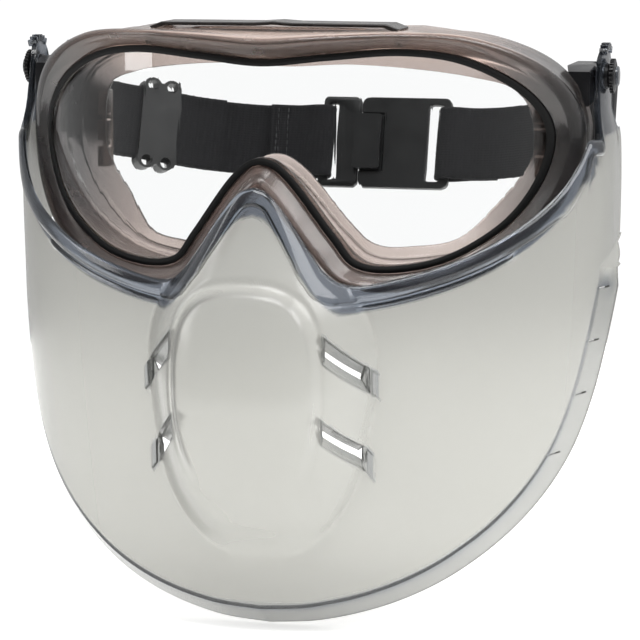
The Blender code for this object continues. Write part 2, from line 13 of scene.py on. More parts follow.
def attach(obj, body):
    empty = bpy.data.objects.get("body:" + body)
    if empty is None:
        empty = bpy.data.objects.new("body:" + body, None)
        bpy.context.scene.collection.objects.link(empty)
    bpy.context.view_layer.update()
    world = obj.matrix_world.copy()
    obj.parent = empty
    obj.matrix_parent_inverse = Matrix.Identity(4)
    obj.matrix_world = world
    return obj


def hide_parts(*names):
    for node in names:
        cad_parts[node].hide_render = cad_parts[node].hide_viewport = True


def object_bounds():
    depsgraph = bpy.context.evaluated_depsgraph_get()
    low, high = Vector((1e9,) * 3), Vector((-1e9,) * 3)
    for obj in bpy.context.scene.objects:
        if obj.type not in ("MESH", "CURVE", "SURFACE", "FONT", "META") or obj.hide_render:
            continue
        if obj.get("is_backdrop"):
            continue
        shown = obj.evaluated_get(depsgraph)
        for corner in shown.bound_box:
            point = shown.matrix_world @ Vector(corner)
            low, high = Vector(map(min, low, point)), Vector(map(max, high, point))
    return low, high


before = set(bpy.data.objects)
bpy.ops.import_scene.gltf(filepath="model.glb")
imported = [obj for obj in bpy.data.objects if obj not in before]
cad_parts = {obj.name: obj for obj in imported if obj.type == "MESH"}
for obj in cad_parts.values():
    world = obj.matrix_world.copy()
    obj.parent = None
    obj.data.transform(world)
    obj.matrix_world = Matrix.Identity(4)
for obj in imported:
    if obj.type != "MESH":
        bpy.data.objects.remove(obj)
cad_low, cad_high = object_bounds()
MM = 0.001


# --- Camera ----------------------------------------------------------------------
# A long portrait lens, a little to the wearer's left and a little above the eyes. It stands far
# enough away that the whole shield shows with little perspective.

LENS = 159.5
CAMERA_AZIMUTH = math.radians(14.0)
CAMERA_ELEVATION = math.radians(9.0)
CAMERA_DISTANCE = 900.0
CAMERA_TARGET = Vector((12.0, -45.0, -76.0))

back = Vector((
    math.sin(CAMERA_AZIMUTH) * math.cos(CAMERA_ELEVATION),
    -math.cos(CAMERA_AZIMUTH) * math.cos(CAMERA_ELEVATION),
    math.sin(CAMERA_ELEVATION),
))
camera = bpy.data.objects.new("camera", bpy.data.cameras.new("camera"))
camera.data.lens = LENS
camera.data.clip_start = 0.05
camera.data.clip_end = 50.0
camera.location = (CAMERA_TARGET + back * CAMERA_DISTANCE) * MM
camera.rotation_euler = (-back).to_track_quat("-Z", "Y").to_euler()
bpy.context.scene.collection.objects.link(camera)
bpy.context.scene.camera = camera
bpy.context.scene.view_settings.view_transform = "Standard"


# --- Studio ----------------------------------------------------------------------
# A white floor and a white surround, with soft boxes above and at the sides. What the plastic
# mirrors is darker towards the front, as in a room behind a lit table.

FLOOR_RADIUS = 0.5
FLOOR_GAP = 0.0004


def linear(code):
    """An sRGB hex colour as linear RGBA."""
    channels = [int(code[i : i + 2], 16) / 255 for i in (0, 2, 4)]
    return (*[c / 12.92 if c <= 0.04045 else ((c + 0.055) / 1.055) ** 2.4 for c in channels], 1.0)


def add(tree, kind, inputs=(), **settings):
    """Add a node. An input is given by name or number, as a value or as the socket to link."""
    made = tree.nodes.new(kind)
    for name, value in settings.items():
        setattr(made, name, value)
    for name, value in dict(inputs).items():
        if isinstance(value, bpy.types.NodeSocket):
            tree.links.new(value, made.inputs[name])
        else:
            made.inputs[name].default_value = value
    return made


def make_floor():
    """A round sheet of white paper just under the object."""
    build = bmesh.new()
    bmesh.ops.create_circle(build, cap_ends=True, segments=96, radius=FLOOR_RADIUS)
    mesh = bpy.data.meshes.new("floor")
    build.to_mesh(mesh)
    build.free()
    mesh.transform(Matrix.Translation((0.0, 0.0, cad_low.z - FLOOR_GAP)))
    floor = bpy.data.objects.new("floor", mesh)
    bpy.context.scene.collection.objects.link(floor)
    paper = bpy.data.materials.new("white_paper")
    paper.use_nodes = True
    shader = paper.node_tree.nodes["Principled BSDF"]
    shader.inputs["Base Color"].default_value = linear("F4F4F2")
    shader.inputs["Roughness"].default_value = 0.9
    shader.inputs["Specular IOR Level"].default_value = 0.1
    shader.inputs["Emission Color"].default_value = linear("FFFFFF")
    shader.inputs["Emission Strength"].default_value = 0.55
    mesh.materials.append(paper)
    floor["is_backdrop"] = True


def light_room():
    """White to the eye, a lit backdrop before and behind to what the plastic bends, and a graded
    room to the rest."""
    world = bpy.data.worlds.new("studio")
    world.use_nodes = True
    tree = world.node_tree
    tree.nodes.clear()
    way = add(tree, "ShaderNodeTexCoord")
    axes = add(tree, "ShaderNodeSeparateXYZ", {0: way.outputs["Generated"]})
    depth = add(tree, "ShaderNodeMapRange", {0: axes.outputs["Y"], 1: -0.9, 2: 0.7, 3: 0.04, 4: 0.6})
    height = add(tree, "ShaderNodeMapRange", {0: axes.outputs["Z"], 1: -0.1, 2: 0.9, 3: 0.0, 4: 0.45})
    room = add(tree, "ShaderNodeMath", {0: depth.outputs[0], 1: height.outputs[0]}, operation="ADD")
    away = add(tree, "ShaderNodeMath", {0: axes.outputs["Y"]}, operation="ABSOLUTE")
    backdrop = add(tree, "ShaderNodeMapRange", {0: away.outputs[0], 1: 0.3, 2: 0.9, 3: 0.5, 4: 1.05})
    rays = add(tree, "ShaderNodeLightPath")
    turns = add(tree, "ShaderNodeMath", {
        0: rays.outputs["Diffuse Depth"],
        1: rays.outputs["Glossy Depth"],
    })
    direct = add(tree, "ShaderNodeMath", {0: turns.outputs[0], 1: 0.5}, operation="LESS_THAN")
    through = add(tree, "ShaderNodeMath", {
        0: rays.outputs["Is Transmission Ray"],
        1: direct.outputs[0],
    }, operation="MULTIPLY")
    bent = add(tree, "ShaderNodeMix", {
        0: through.outputs[0],
        2: room.outputs[0],
        3: backdrop.outputs[0],
    })
    seen = rays.outputs["Is Camera Ray"]
    strength = add(tree, "ShaderNodeMix", {0: seen, 2: bent.outputs[0], 3: 1.05}).outputs[0]
    ground = add(tree, "ShaderNodeBackground", {"Color": linear("FFFFFF"), "Strength": strength})
    add(tree, "ShaderNodeOutputWorld", {"Surface": ground.outputs[0]})
    bpy.context.scene.world = world


def soft_box(name, place, size, watts):
    """An area light at `place`, aimed at the object's middle."""
    lamp = bpy.data.lights.new(name, "AREA")
    lamp.shape = "RECTANGLE"
    lamp.size, lamp.size_y = size
    lamp.energy = watts
    holder = bpy.data.objects.new(name, lamp)
    holder.location = place
    aim = CAMERA_TARGET * MM - Vector(place)
    holder.rotation_euler = aim.to_track_quat("-Z", "Y").to_euler()
    holder.visible_camera = False
    bpy.context.scene.collection.objects.link(holder)


make_floor()
light_room()
soft_box("top_box", (0.15, -0.35, 1.0), (0.8, 0.45), 10.0)
soft_box("left_box", (-1.0, -0.5, 0.3), (0.3, 0.8), 3.5)
soft_box("right_box", (0.85, -0.15, 0.62), (0.75, 0.5), 7.0)


# --- Goggle frame ----------------------------------------------------------------
# Soft PVC, injection moulded in one piece and tinted a warm smoke, so thin walls look pinkish and
# thick ones dark grey. Its front is a stepped bezel, its back an outward heel and a face flange.

GAP = 0.35
LENS_RADIUS = 103.0
LENS_FRONT_Y = -72.0
SEAL_WIDTH = 2.1
GROOVE_DEPTH = 4.6
LEDGE_THICK = 1.6
WALL_THICK = 2.4
WALL_WAIST = 1.8
RIM_STEPS = 9
# half of the lens opening: (x, z, bezel width, how far its crest stands in front of the lens,
# y of the wall's back, then x, z and y of the face opening)
RIM = [
    (0.0, 8.0, 6.8, 3.0, -38.0, 0.0, 3.8, -38.5),
    (20.0, 9.8, 6.1, 3.4, -36.5, 20.0, 4.6, -37.0),
    (42.0, 11.2, 5.3, 4.0, -29.0, 40.0, 3.0, -30.5),
    (60.0, 8.0, 7.0, 4.5, -18.0, 56.0, 0.0, -20.5),
    (75.5, -1.5, 8.8, 4.5, -4.0, 67.0, -4.5, -9.0),
    (83.3, -14.0, 8.6, 4.2, 4.0, 71.5, -14.5, -2.0),
    (81.6, -29.0, 8.8, 3.8, 5.0, 71.0, -28.0, -1.0),
    (72.5, -43.5, 8.2, 3.5, -2.0, 61.5, -41.5, -7.0),
    (57.0, -53.8, 6.8, 3.5, -14.0, 51.0, -51.8, -18.0),
    (41.0, -57.3, 6.2, 4.0, -26.0, 38.0, -53.5, -28.5),
    (28.5, -55.5, 6.2, 4.6, -37.0, 29.0, -52.0, -38.0),
    (21.0, -46.5, 6.8, 5.0, -43.5, 22.5, -45.0, -44.5),
    (8.2, -29.3, 7.2, 5.2, -48.5, 9.2, -27.5, -49.5),
    (0.0, -24.2, 7.4, 5.2, -50.0, 0.0, -22.5, -51.0),
]
VENT_Y = -50.0
VENT_WINDOW = (56.0, 7.0)
CROWN_Z = 16.2  # the wall under the vent cover rises to here
CROWN_HALF = 52.0  # of x, where the rise begins
CROWN_RUN_IN = 10.0
FRONT_BOW = (0.038, -6.05)  # in metres, the front lies at y = -(first + second * x * x)


def catmull(a, b, c, d, t):
    """One point of the spline through b and c, for tuples of any length."""
    point = []
    for p, q, r, s in zip(a, b, c, d):
        square = 2 * p - 5 * q + 4 * r - s
        cube = 3 * q - p - 3 * r + s
        point.append(0.5 * (2 * q + (r - p) * t + square * t**2 + cube * t**3))
    return tuple(point)


def rim_stations(steps):
    """Rows of RIM all the way round, each with the outline's outward normal in x and z."""
    mirrored = [(-row[0], *row[1:5], -row[5], *row[6:]) for row in reversed(RIM[1:-1])]
    rows = RIM + mirrored
    count = len(rows)
    path = []
    for i in range(count):
        around = [rows[(i + k - 1) % count] for k in range(4)]
        path += [catmull(*around, step / steps) for step in range(steps)]
    stations = []
    for i, row in enumerate(path):
        before, after = path[i - 1], path[(i + 1) % len(path)]
        along = Vector((after[0] - before[0], after[1] - before[1])).normalized()
        stations.append((row, Vector((-along.y, along.x))))
    return stations


def lens_y(x):
    """The lens's front face, an upright cylinder."""
    return LENS_FRONT_Y + LENS_RADIUS - math.sqrt(LENS_RADIUS**2 - x**2)


def offset_point(row, normal, outward, behind):
    """A point off the lens outline: `outward` in the outline's plane, `behind` the lens surface."""
    x = row[0] + normal.x * outward
    return Vector((x, lens_y(x) + behind, row[1] + normal.y * outward))


def rounded(corners, steps=3):
    """A closed outline from (point, radius) corners, each turned in a short curve."""
    outline = []
    for i, (here, radius) in enumerate(corners):
        before, after = corners[i - 1][0], corners[(i + 1) % len(corners)][0]
        reach_in = min(radius, 0.45 * (before - here).length)
        reach_out = min(radius, 0.45 * (after - here).length)
        start = here + (before - here).normalized() * reach_in
        end = here + (after - here).normalized() * reach_out
        for k in range(steps + 1):
            t = k / steps
            outline.append(start * (1 - t) ** 2 + here * 2 * t * (1 - t) + end * t**2)
    return outline


def crown_lift(row, normal):
    """How far the brow's wall rises beyond the bezel, to meet the vent cover."""
    short = CROWN_Z - row[1] - (row[2] - WALL_WAIST) * normal.y
    share = min(max((CROWN_HALF - abs(row[0])) / CROWN_RUN_IN, 0.0), 1.0)
    return max(short, 0.0) * share if normal.y > 0.5 else 0.0


def frame_section(row, normal):
    """One closed section: bezel, outer wall, heel, face flange, inner wall and lens groove."""
    bezel, forward, back_y, open_x, open_z, open_y = row[2:]
    shoulder = offset_point(row, normal, bezel, 1.4 - forward)
    lift = crown_lift(row, normal)
    waist = offset_point(row, normal, bezel - WALL_WAIST + lift, 0.0)
    inner = offset_point(row, normal, bezel - WALL_WAIST - WALL_THICK + lift, 0.0)
    heel = offset_point(row, normal, bezel - 1.0 + lift, 0.0)
    middle_y = 0.5 * (shoulder.y + back_y)
    opening = Vector((open_x, open_y, open_z))
    lip = Vector((open_x, open_y - 1.4, open_z))
    flange_root = Vector((inner.x, back_y - 2.6, inner.z))
    crease = lip.lerp(flange_root, 0.52)
    bead = lip.lerp(flange_root, 0.6) + Vector((0.0, -0.9, 0.0))
    crease_end = lip.lerp(flange_root, 0.68)
    ledge_y = GROOVE_DEPTH + LEDGE_THICK
    return rounded([
        (offset_point(row, normal, GAP, 0.3), 0.3),
        (offset_point(row, normal, 0.42 * bezel, -0.55 * forward), 1.6),
        (offset_point(row, normal, 0.5 * bezel, -0.74 * forward), 0.9),
        (offset_point(row, normal, bezel - 1.6, -forward), 2.2),
        (shoulder, 1.8),
        (Vector((waist.x, middle_y, waist.z)), 9.0),
        (Vector((heel.x, back_y - 2.0, heel.z)), 1.2),
        (Vector((waist.x, back_y, waist.z)), 1.2),
        (opening, 0.6),
        (lip, 0.6),
        (crease, 0.4),
        (bead, 0.8),
        (crease_end, 0.4),
        (flange_root, 2.5),
        (Vector((inner.x, middle_y, inner.z)), 9.0),
        (offset_point(row, normal, bezel - WALL_WAIST - WALL_THICK, ledge_y + 1.5), 1.5),
        (offset_point(row, normal, -SEAL_WIDTH + 0.1, ledge_y), 0.4),
        (offset_point(row, normal, -SEAL_WIDTH + 0.1, GROOVE_DEPTH), 0.3),
        (offset_point(row, normal, GAP, GROOVE_DEPTH), 0.3),
    ])


def skin(rings, closed):
    """Join closed rings of points into one surface, with end faces on an open path."""
    build = bmesh.new()
    grid = [[build.verts.new(point) for point in ring] for ring in rings]
    pairs = list(zip(grid, grid[1:]))
    if closed:
        pairs.append((grid[-1], grid[0]))
    for one, two in pairs:
        for i in range(len(one)):
            j = (i + 1) % len(one)
            build.faces.new((one[i], one[j], two[j], two[i]))
    if not closed:
        build.faces.new(grid[0])
        build.faces.new(reversed(grid[-1]))
    bmesh.ops.recalc_face_normals(build, faces=build.faces)
    return build


def make_piece(name, build, finish, sharp=35.0):
    """Turn a bmesh drawn in millimetres into a smooth-shaded object at the origin."""
    bmesh.ops.scale(build, verts=build.verts, vec=(MM, MM, MM))
    mesh = bpy.data.meshes.new(name)
    build.to_mesh(mesh)
    build.free()
    mesh.materials.append(finish)
    mesh.shade_smooth()
    mesh.set_sharp_from_angle(angle=math.radians(sharp))
    piece = bpy.data.objects.new(name, mesh)
    bpy.context.scene.collection.objects.link(piece)
    return piece


def prism(outline, axis, low, high):
    """Extrude an outline along `axis`; the outline's pairs are the other two axes in order."""

    def place(pair, along):
        values = list(pair)
        values.insert(axis, along)
        return Vector(values)

    return skin([[place(pair, along) for pair in outline] for along in (low, high)], False)


def arc(centre, radius, start, end, count):
    """Points on an arc, with its angles in degrees."""
    angles = [math.radians(start + (end - start) * i / (count - 1)) for i in range(count)]
    return [(centre[0] + radius * math.cos(a), centre[1] + radius * math.sin(a)) for a in angles]


def rounded_box(low, high, radius, count=6):
    """Outline of a rectangle with round corners."""
    (x0, y0), (x1, y1) = low, high
    outline = arc((x1 - radius, y1 - radius), radius, 0, 90, count)
    outline += arc((x0 + radius, y1 - radius), radius, 90, 180, count)
    outline += arc((x0 + radius, y0 + radius), radius, 180, 270, count)
    return outline + arc((x1 - radius, y0 + radius), radius, 270, 360, count)


def combine(target, build, operation="DIFFERENCE"):
    """Cut a shape out of `target`, or join it on, and keep the result as its mesh."""
    other = make_piece("shape", build, target.data.materials[0])
    step = target.modifiers.new("shape", "BOOLEAN")
    step.operation = operation
    step.object = other
    bake(target)
    bpy.data.objects.remove(other, do_unlink=True)


def bake(piece, sharp=35.0):
    """Give `piece` the mesh that its modifiers make, and take them off. With no `sharp` angle the
    normals stay as the modifiers made them."""
    graph = bpy.context.evaluated_depsgraph_get()
    mesh = bpy.data.meshes.new_from_object(piece.evaluated_get(graph), depsgraph=graph)
    piece.modifiers.clear()
    piece.data = mesh
    if sharp:
        mesh.shade_smooth()
        mesh.set_sharp_from_angle(angle=math.radians(sharp))


def start_finish(name):
    """A new material: itself, its tree, its Principled shader and its Object coordinates."""
    made = bpy.data.materials.new(name)
    made.use_nodes = True
    tree = made.node_tree
    place = add(tree, "ShaderNodeTexCoord").outputs["Object"]
    return made, tree, tree.nodes["Principled BSDF"], place


def smoke_pvc():
    """Polished soft PVC: it bends light and takes colour with depth. The thin brow and the walls
    behind the bezel are pale and warm, the thick sides of the bezel grey, all with a faint
    orange peel."""
    made, tree, shader, place = start_finish("smoke_tinted_pvc_moulded")
    axes = add(tree, "ShaderNodeSeparateXYZ", {0: place}).outputs
    brow = add(tree, "ShaderNodeMapRange", {0: axes["Z"], 1: -0.004, 2: 0.012})
    shades = {0: brow.outputs[0], 6: linear("BDB1AC"), 7: linear("E2D0C7")}
    upper = add(tree, "ShaderNodeMix", shades, data_type="RGBA")
    across = add(tree, "ShaderNodeMath", {0: axes["X"]}, operation="ABSOLUTE")
    side = add(tree, "ShaderNodeMapRange", {0: across.outputs[0], 1: 0.058, 2: 0.082})
    shades = {0: side.outputs[0], 6: upper.outputs[2], 7: linear("7A7878")}
    bezel = add(tree, "ShaderNodeMix", shades, data_type="RGBA")
    square = add(tree, "ShaderNodeMath", {0: axes["X"], 1: axes["X"]}, operation="MULTIPLY")
    middle, bow = FRONT_BOW
    bowed = {0: square.outputs[0], 1: bow, 2: middle}
    front = add(tree, "ShaderNodeMath", bowed, operation="MULTIPLY_ADD")
    behind = add(tree, "ShaderNodeMath", {0: axes["Y"], 1: front.outputs[0]}, operation="ADD")
    wall = add(tree, "ShaderNodeMapRange", {0: behind.outputs[0], 1: 0.008, 2: 0.014})
    shades = {0: wall.outputs[0], 6: bezel.outputs[2], 7: linear("F0DFD3")}
    colour = add(tree, "ShaderNodeMix", shades, data_type="RGBA")
    tree.links.new(colour.outputs[2], shader.inputs["Base Color"])
    shader.inputs["IOR"].default_value = 1.5
    shader.inputs["Transmission Weight"].default_value = 0.93
    clouds = add(tree, "ShaderNodeTexNoise", {"Vector": place, "Scale": 90.0, "Detail": 3.0})
    rough = add(tree, "ShaderNodeMapRange", {0: clouds.outputs[0], 1: 0.3, 2: 0.7, 3: 0.18, 4: 0.28})
    tree.links.new(rough.outputs[0], shader.inputs["Roughness"])
    peel = add(tree, "ShaderNodeTexNoise", {"Vector": place, "Scale": 350.0, "Detail": 2.0})
    bump = add(tree, "ShaderNodeBump", {"Height": peel.outputs[0], "Strength": 0.05, "Distance": 0.0003})
    tree.links.new(bump.outputs[0], shader.inputs["Normal"])
    tint = add(tree, "ShaderNodeVolumeAbsorption", {"Color": linear("BBABA4"), "Density": 110.0})
    tree.links.new(tint.outputs[0], tree.nodes["Material Output"].inputs["Volume"])
    return made


smoke = smoke_pvc()
stations = rim_stations(RIM_STEPS)
goggle = skin([frame_section(*station) for station in stations], True)
goggle = make_piece("soft_goggle_frame", goggle, smoke)
long, wide = VENT_WINDOW
window = rounded_box((-long / 2, VENT_Y - wide / 2), (long / 2, VENT_Y + wide / 2), 2.0)
combine(goggle, prism(window, 2, 5.0, 25.0))
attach(goggle, "goggle")
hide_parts("goggle_frame")


# --- Lens seal -------------------------------------------------------------------
# A matt black gasket of EPDM rubber, an L in section: its lip lies over the edge of the lens, and its
# leg is pressed between the lens and the frame's groove.

LENS_THICK = 2.0


def seal_section(row, normal):
    """One closed section: the lip on the lens's face, its edge, and the leg round the lens."""
    lens_back = 1.0 + GAP + LENS_THICK
    corners = [
        (0.1, -0.3, 0.3), (-1.0, -0.75, 0.8), (-SEAL_WIDTH, -0.1, 0.3), (-SEAL_WIDTH, 1.0, 0.2),
        (-0.9, 1.0, 0.2), (-0.9, lens_back + 0.6, 0.2), (0.0, lens_back + 0.6, 0.2),
    ]
    return rounded([(offset_point(row, normal, *off), radius) for *off, radius in corners])


def seal_rubber():
    """Extruded EPDM: near black, matt, with a fine satin grain."""
    made, tree, shader, place = start_finish("black_epdm_rubber")
    shader.inputs["IOR"].default_value = 1.52
    shader.inputs["Specular IOR Level"].default_value = 0.15
    grain = add(tree, "ShaderNodeTexNoise", {"Vector": place, "Scale": 1500.0, "Detail": 3.0})
    shades = {0: grain.outputs[0], 6: linear("040404"), 7: linear("0B0B0B")}
    colour = add(tree, "ShaderNodeMix", shades, data_type="RGBA")
    tree.links.new(colour.outputs[2], shader.inputs["Base Color"])
    rough = add(tree, "ShaderNodeMapRange", {0: grain.outputs[0], 3: 0.5, 4: 0.7})
    tree.links.new(rough.outputs[0], shader.inputs["Roughness"])
    bump = add(tree, "ShaderNodeBump", {"Height": grain.outputs[0], "Strength": 0.15, "Distance": 0.0002})
    tree.links.new(bump.outputs[0], shader.inputs["Normal"])
    return made


rubber = seal_rubber()
seal = skin([seal_section(*station) for station in stations], True)
seal = make_piece("lens_gasket", seal, rubber)
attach(seal, "goggle")
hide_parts("lens_seal")


# --- Lens ------------------------------------------------------------------------
# Clear polycarbonate sheet, 2 mm thick and hard-coated on both faces. It is cut flat, bent round an
# upright cylinder and held in the frame's groove by its seal.

LENS_EDGE = 1.2
LENS_SLICES = 66


def lens_mesh():
    """The flat outline is sliced upright, bent to the cylinder and thickened."""
    outline = [(row[0] - n.x * LENS_EDGE, row[1] - n.y * LENS_EDGE) for row, n in stations]
    build = bmesh.new()
    build.faces.new([build.verts.new((x, 0.0, z)) for x, z in outline])
    half = max(x for x, z in outline)
    for k in range(1, LENS_SLICES):
        x = -half + 2 * half * k / LENS_SLICES
        parts = build.verts[:] + build.edges[:] + build.faces[:]
        bmesh.ops.bisect_plane(build, geom=parts, plane_co=(x, 0, 0), plane_no=(1, 0, 0), dist=0.001)
    bmesh.ops.remove_doubles(build, verts=build.verts, dist=0.01)
    for vert in build.verts:
        vert.co.y = lens_y(vert.co.x) + 1.0 + GAP
    region = bmesh.ops.extrude_face_region(build, geom=build.faces[:])["geom"]
    rear = [item for item in region if isinstance(item, bmesh.types.BMVert)]
    bmesh.ops.translate(build, verts=rear, vec=(0, LENS_THICK, 0))
    bmesh.ops.recalc_face_normals(build, faces=build.faces)
    return build


def clear_polycarbonate():
    """Optical sheet: colourless and clear, with the slightest ripple in its hard coat."""
    made, tree, shader, place = start_finish("clear_polycarbonate_hard_coated")
    shader.inputs["Base Color"].default_value = linear("FBFCFC")
    shader.inputs["IOR"].default_value = 1.45
    shader.inputs["Transmission Weight"].default_value = 1.0
    shader.inputs["Specular IOR Level"].default_value = 0.2
    ripple = add(tree, "ShaderNodeTexNoise", {"Vector": place, "Scale": 40.0, "Detail": 1.0})
    rough = add(tree, "ShaderNodeMapRange", {0: ripple.outputs[0], 3: 0.0, 4: 0.03})
    tree.links.new(rough.outputs[0], shader.inputs["Roughness"])
    return made


lens = make_piece("clear_lens_pane", lens_mesh(), clear_polycarbonate())
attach(lens, "goggle")
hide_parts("lens")


# --- Top vent --------------------------------------------------------------------
# A snap-on bridge of dark smoke plastic over the slot in the brow, and the grille of thin slats
# under it that keeps dust out of the air path.

COVER_HALF = 40.0
COVER_LEG = 4.0
COVER_RISE = 16.9
COVER_THICK = 1.1
COVER_DEPTH = 7.5
GRILLE = (27.5, 3.0, 11.2, 13.0)  # half length, half width, lowest and highest z
SLAT_COUNT = 22
SLAT_THICK = 0.8
SLAT_MARGIN = 2.0  # from the grille's end to the first slat's middle


def dark_abs(name, code, rough_low, rough_high):
    """Spark-textured ABS: near black, satin, with faint cloudy wear in its shine."""
    made, tree, shader, place = start_finish(name)
    shader.inputs["IOR"].default_value = 1.53
    shader.inputs["Specular IOR Level"].default_value = 0.3
    shader.inputs["Base Color"].default_value = linear(code)
    clouds = add(tree, "ShaderNodeTexNoise", {"Vector": place, "Scale": 120.0, "Detail": 4.0})
    span = {0: clouds.outputs[0], 1: 0.3, 2: 0.7, 3: rough_low, 4: rough_high}
    rough = add(tree, "ShaderNodeMapRange", span)
    tree.links.new(rough.outputs[0], shader.inputs["Roughness"])
    texture = add(tree, "ShaderNodeTexNoise", {"Vector": place, "Scale": 2200.0, "Detail": 2.0})
    bump = add(tree, "ShaderNodeBump", {"Height": texture.outputs[0], "Strength": 0.12, "Distance": 0.0002})
    tree.links.new(bump.outputs[0], shader.inputs["Normal"])
    return made


def round_edges(piece, width, steps=2):
    """Moulded edges: a small radius on every sharp edge."""
    radius = piece.modifiers.new("radius", "BEVEL")
    radius.width = width * MM
    radius.segments = steps
    radius.limit_method = "ANGLE"
    radius.angle_limit = math.radians(35.0)
    weights = piece.modifiers.new("weights", "WEIGHTED_NORMAL")
    weights.keep_sharp = True
    bake(piece, None)


def repeat_tree():
    """Copies of a piece along a step, each turned a little more about X than the last."""
    tree = bpy.data.node_groups.new("repeat_along", "GeometryNodeTree")
    sockets = (("Piece", "Geometry"), ("Count", "Int"), ("Step", "Vector"), ("Turn", "Float"),
               ("Jitter", "Vector"), ("Seed", "Int"), ("Finish", "Material"))
    for name, kind in sockets:
        tree.interface.new_socket(name, in_out="INPUT", socket_type=f"NodeSocket{kind}")
    tree.interface.new_socket("Geometry", in_out="OUTPUT", socket_type="NodeSocketGeometry")
    given = add(tree, "NodeGroupInput").outputs
    row = {"Count": given["Count"], "Offset": given["Step"]}
    line = add(tree, "GeometryNodeMeshLine", row, mode="OFFSET")
    index = add(tree, "GeometryNodeInputIndex")
    turned = add(tree, "ShaderNodeMath", {0: index.outputs[0], 1: given["Turn"]}, operation="MULTIPLY")
    about = add(tree, "ShaderNodeCombineXYZ", {"X": turned.outputs[0]})
    copies = add(tree, "GeometryNodeInstanceOnPoints", {
        "Points": line.outputs[0],
        "Instance": given["Piece"],
        "Rotation": about.outputs[0],
    })
    least = add(tree, "ShaderNodeVectorMath", {0: given["Jitter"], "Scale": -1.0}, operation="SCALE")
    nudge = add(tree, "FunctionNodeRandomValue", {
        0: least.outputs[0],
        1: given["Jitter"],
        "Seed": given["Seed"],
    }, data_type="FLOAT_VECTOR")
    moved = add(tree, "GeometryNodeTranslateInstances", {
        0: copies.outputs[0],
        "Translation": nudge.outputs[0],
    })
    solid = add(tree, "GeometryNodeRealizeInstances", {0: moved.outputs[0]})
    painted = add(tree, "GeometryNodeSetMaterial", {0: solid.outputs[0], "Material": given["Finish"]})
    add(tree, "NodeGroupOutput", {0: painted.outputs[0]})
    return tree


REPEAT = repeat_tree()


def repeat(piece, count, step=(0.0, 0.0, 0.0), turn=0.0, jitter=(0.0, 0.0, 0.0), seed=1):
    """Turn `piece` into a row or ring of itself. Steps are in millimetres, turns in radians."""
    copies = piece.modifiers.new("copies", "NODES")
    copies.node_group = REPEAT
    values = {
        "Count": count,
        "Step": Vector(step) * MM,
        "Turn": turn,
        "Jitter": Vector(jitter) * MM,
        "Seed": seed,
        "Finish": piece.data.materials[0],
    }
    for name, value in values.items():
        copies[REPEAT.interface.items_tree[name].identifier] = value
    bake(piece)


cover_top = [
    (-COVER_HALF, COVER_RISE),
    (-COVER_HALF + COVER_LEG, COVER_RISE + 1.5),
    (-6.0, COVER_RISE + 1.6),
]
cover_top += [(0.0, COVER_RISE + 2.0)] + [(-x, z) for x, z in reversed(cover_top)]
cover_under = [(x * 0.97, z - COVER_THICK) for x, z in reversed(cover_top)]
smoke_black = dark_abs("dark_smoke_abs_moulded", "2A2726", 0.22, 0.35)
cover = prism(cover_top + cover_under, 1, VENT_Y - COVER_DEPTH, VENT_Y + COVER_DEPTH)
cover = make_piece("vent_cover", cover, smoke_black)
round_edges(cover, 0.35)
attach(cover, "goggle")
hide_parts("top_vent_cover")

length, half_width, grille_low, grille_high = GRILLE
ring = rounded_box((-length, VENT_Y - half_width), (length, VENT_Y + half_width), 1.5)
grille_black = dark_abs("grille_black_abs_moulded", "141415", 0.4, 0.55)
grille_frame = make_piece("vent_grille_frame", prism(ring, 2, grille_low, grille_high), grille_black)
hole_x, hole_y = length - 1.2, half_width - 1.0
hole = rounded_box((-hole_x, VENT_Y - hole_y), (hole_x, VENT_Y + hole_y), 0.6)
combine(grille_frame, prism(hole, 2, grille_low - 1.0, grille_high + 1.0))
pitch = (2 * length - 2 * SLAT_MARGIN) / (SLAT_COUNT - 1)
slat_y = half_width - 0.4
slat = rounded_box((-SLAT_THICK / 2, -slat_y), (SLAT_THICK / 2, slat_y), 0.3, 3)
slats = make_piece("vent_grille_slats", prism(slat, 2, 0.3, 1.5), grille_black)
repeat(slats, SLAT_COUNT, step=(pitch, 0.0, 0.0))
slats.data.transform(Matrix.Translation(Vector((SLAT_MARGIN - length, VENT_Y, grille_low)) * MM))
for piece in (grille_frame, slats):
    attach(piece, "goggle")
    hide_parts("top_vent_filter")


# --- Temple baffles --------------------------------------------------------------
# A notched strip of the same smoke PVC behind each end of the face opening. It lets air through
# the side vents and stops splashes.

NOTCHES = ((-16.0, -18.0), (-25.0, -27.0))
BAFFLE_TOP, BAFFLE_FOOT = -8.0, -34.0
BAFFLE_NEAR, BAFFLE_DEEP, BAFFLE_FAR = 1.0, 3.0, 5.5  # y
BAFFLE_X = (72.0, 75.5)
outline = [(BAFFLE_NEAR, BAFFLE_FOOT), (BAFFLE_FAR, BAFFLE_FOOT)]
outline += [(BAFFLE_FAR, BAFFLE_TOP), (BAFFLE_NEAR, BAFFLE_TOP)]
for high, low in NOTCHES:
    outline += [(BAFFLE_NEAR, high), (BAFFLE_DEEP, high), (BAFFLE_DEEP, low), (BAFFLE_NEAR, low)]
for side, name in ((1, "left"), (-1, "right")):
    near, far = sorted(side * x for x in BAFFLE_X)
    baffle = make_piece(f"side_baffle_{name}", prism(outline, 0, near, far), smoke)
    round_edges(baffle, 0.3)
    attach(baffle, "goggle")
    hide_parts(f"temple_baffle_{name}")


# --- Temple brackets, studs and pins ---------------------------------------------
# Black ABS arms clipped on each temple of the soft frame. Each carries the stud that the shield
# turns on, and behind it the pin that the headband's clip swivels on.

PIVOT = (-4.0, 0.0)  # y, z
EAR_X = 96.8  # outer face of the shield's ear
BRACKET_X = 93.4
STUD_RADIUS = 4.0
SWIVEL = (7.5, -6.0)  # y, z
SWIVEL_PIN_RADIUS = 2.5
